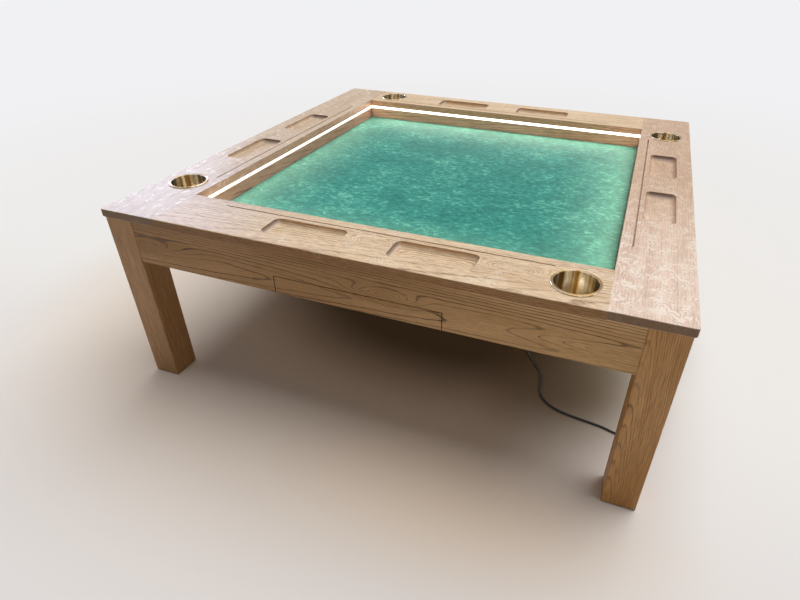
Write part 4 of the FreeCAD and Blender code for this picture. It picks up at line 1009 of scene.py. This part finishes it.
# painted light and shade: a warm tint beside the table, a painted pool of warm light in front of
# it, painted shadow under it and a deeper painted shadow inside the front right leg
LIGHT_AND_SHADE_OVALS = (((-0.268, -0.231, 0), (0.781, 0.654, 1), 0.73, 1.43, "#E6D9CC"),
         ((0.25, -0.70, 0), (0.60, 0.26, 1), 0.0, 1.0, "#F2E0CC"),
         ((0.035, 0, 0), (0.70, 0.50, 1), 0.50, 1.05, "#726755"),
         ((0.42, -0.27, 0), (0.28, 0.30, 1), 0.10, 1.0, "#8A7C68"))
for centre, radii, inner, rim, shade in LIGHT_AND_SHADE_OVALS:
    oval = add(tree, "Mapping", {0: place, "Location": centre, "Scale": radii},
               vector_type="TEXTURE").outputs[0]
    oval = add(tree, "VectorMath", {0: oval}, operation="LENGTH").outputs["Value"]
    oval = add(tree, "MapRange", {0: oval, 1: inner, 2: rim},
               interpolation_type="SMOOTHSTEP").outputs[0]
    paint = add(tree, "Mix", {0: oval, 6: colour(shade), 7: paint}, data_type="RGBA").outputs[2]
tree.links.new(paint, shader.inputs["Base Color"])
far = add(tree, "VectorMath", {0: place}, operation="LENGTH").outputs["Value"]
far = add(tree, "MapRange", {0: far, 1: 1.2, 2: 4.0}, interpolation_type="SMOOTHSTEP").outputs[0]
fading = add(tree, "Math", {0: far, 1: looked_at(tree)}, operation="MULTIPLY").outputs[0]
pale = add(tree, "Emission", {0: BACKDROP, 1: 1.0}).outputs[0]
mixed = add(tree, "MixShader", {0: fading, 1: shader.outputs[0], 2: pale}).outputs[0]
tree.links.new(mixed, tree.nodes["Material Output"].inputs["Surface"])
floor.data.materials.append(floor_finish)
print("tinted ovals on the floor:", len(LIGHT_AND_SHADE_OVALS))

# %% [markdown]
# ## Lamps and world
# Most of the light is a wide soft sun, as from a bright ceiling: upright faces get much less of it
# than the top, which gives the table its weight. The window lamp shows in reflections alone. Four
# narrow lamps throw the strip's light into the well, a little differently on each side.

# %% Lamps and world
STRIP_WATTS = (0.65, 0.36, 0.68, 0.24)
STRIP_REACH, STRIP_Z, STRIP_LONG, STRIP_HIGH = 0.4605, 0.4292, 0.84, 0.008


def soft_lamp(name, place, aim, width, height, watts, code):
    """A rectangular soft box that points at aim."""
    data = bpy.data.lights.new(name, "AREA")
    data.shape, data.size, data.size_y, data.energy = "RECTANGLE", width, height, watts
    data.color = colour(code)[:3]
    lamp = bpy.data.objects.new(name, data)
    lamp.location = place
    lamp.rotation_euler = (Vector(aim) - Vector(place)).to_track_quat("-Z", "Y").to_euler()
    bpy.context.scene.collection.objects.link(lamp)
    return lamp


window = soft_lamp("window", (-2.7, 1.3, 1.25), (-0.3, -0.3, 0.45), 1.2, 0.9, 48, "#D2DCFF")
window.visible_diffuse = False
for side, quarter in SIDES:
    strip = soft_lamp("strip_" + side, quarter_turn(quarter) @ Vector((0, -STRIP_REACH, STRIP_Z)),
                      (0, 0, STRIP_Z), STRIP_LONG, STRIP_HIGH, STRIP_WATTS[quarter], "#FFF4E4")
    strip.visible_camera = False
sky = bpy.data.lights.new("ceiling", "SUN")
sky.energy, sky.angle = 2.6, math.radians(60)
sky_lamp = bpy.data.objects.new("ceiling", sky)
sky_lamp.rotation_euler = Vector((0.22, 0.36, 1.0)).to_track_quat("Z", "Y").to_euler()
bpy.context.scene.collection.objects.link(sky_lamp)
world = bpy.data.worlds.new("world")
world.use_nodes = True
tree = world.node_tree
backdrop = tree.nodes["Background"]
backdrop.inputs["Color"].default_value = BACKDROP
strength = add(tree, "MapRange", {0: looked_at(tree), 3: 0.22, 4: 1.0}).outputs[0]
tree.links.new(strength, backdrop.inputs["Strength"])
bpy.context.scene.world = world
bpy.context.scene.view_settings.view_transform = "Standard"
print("watts in the strips:", round(sum(STRIP_WATTS), 2))
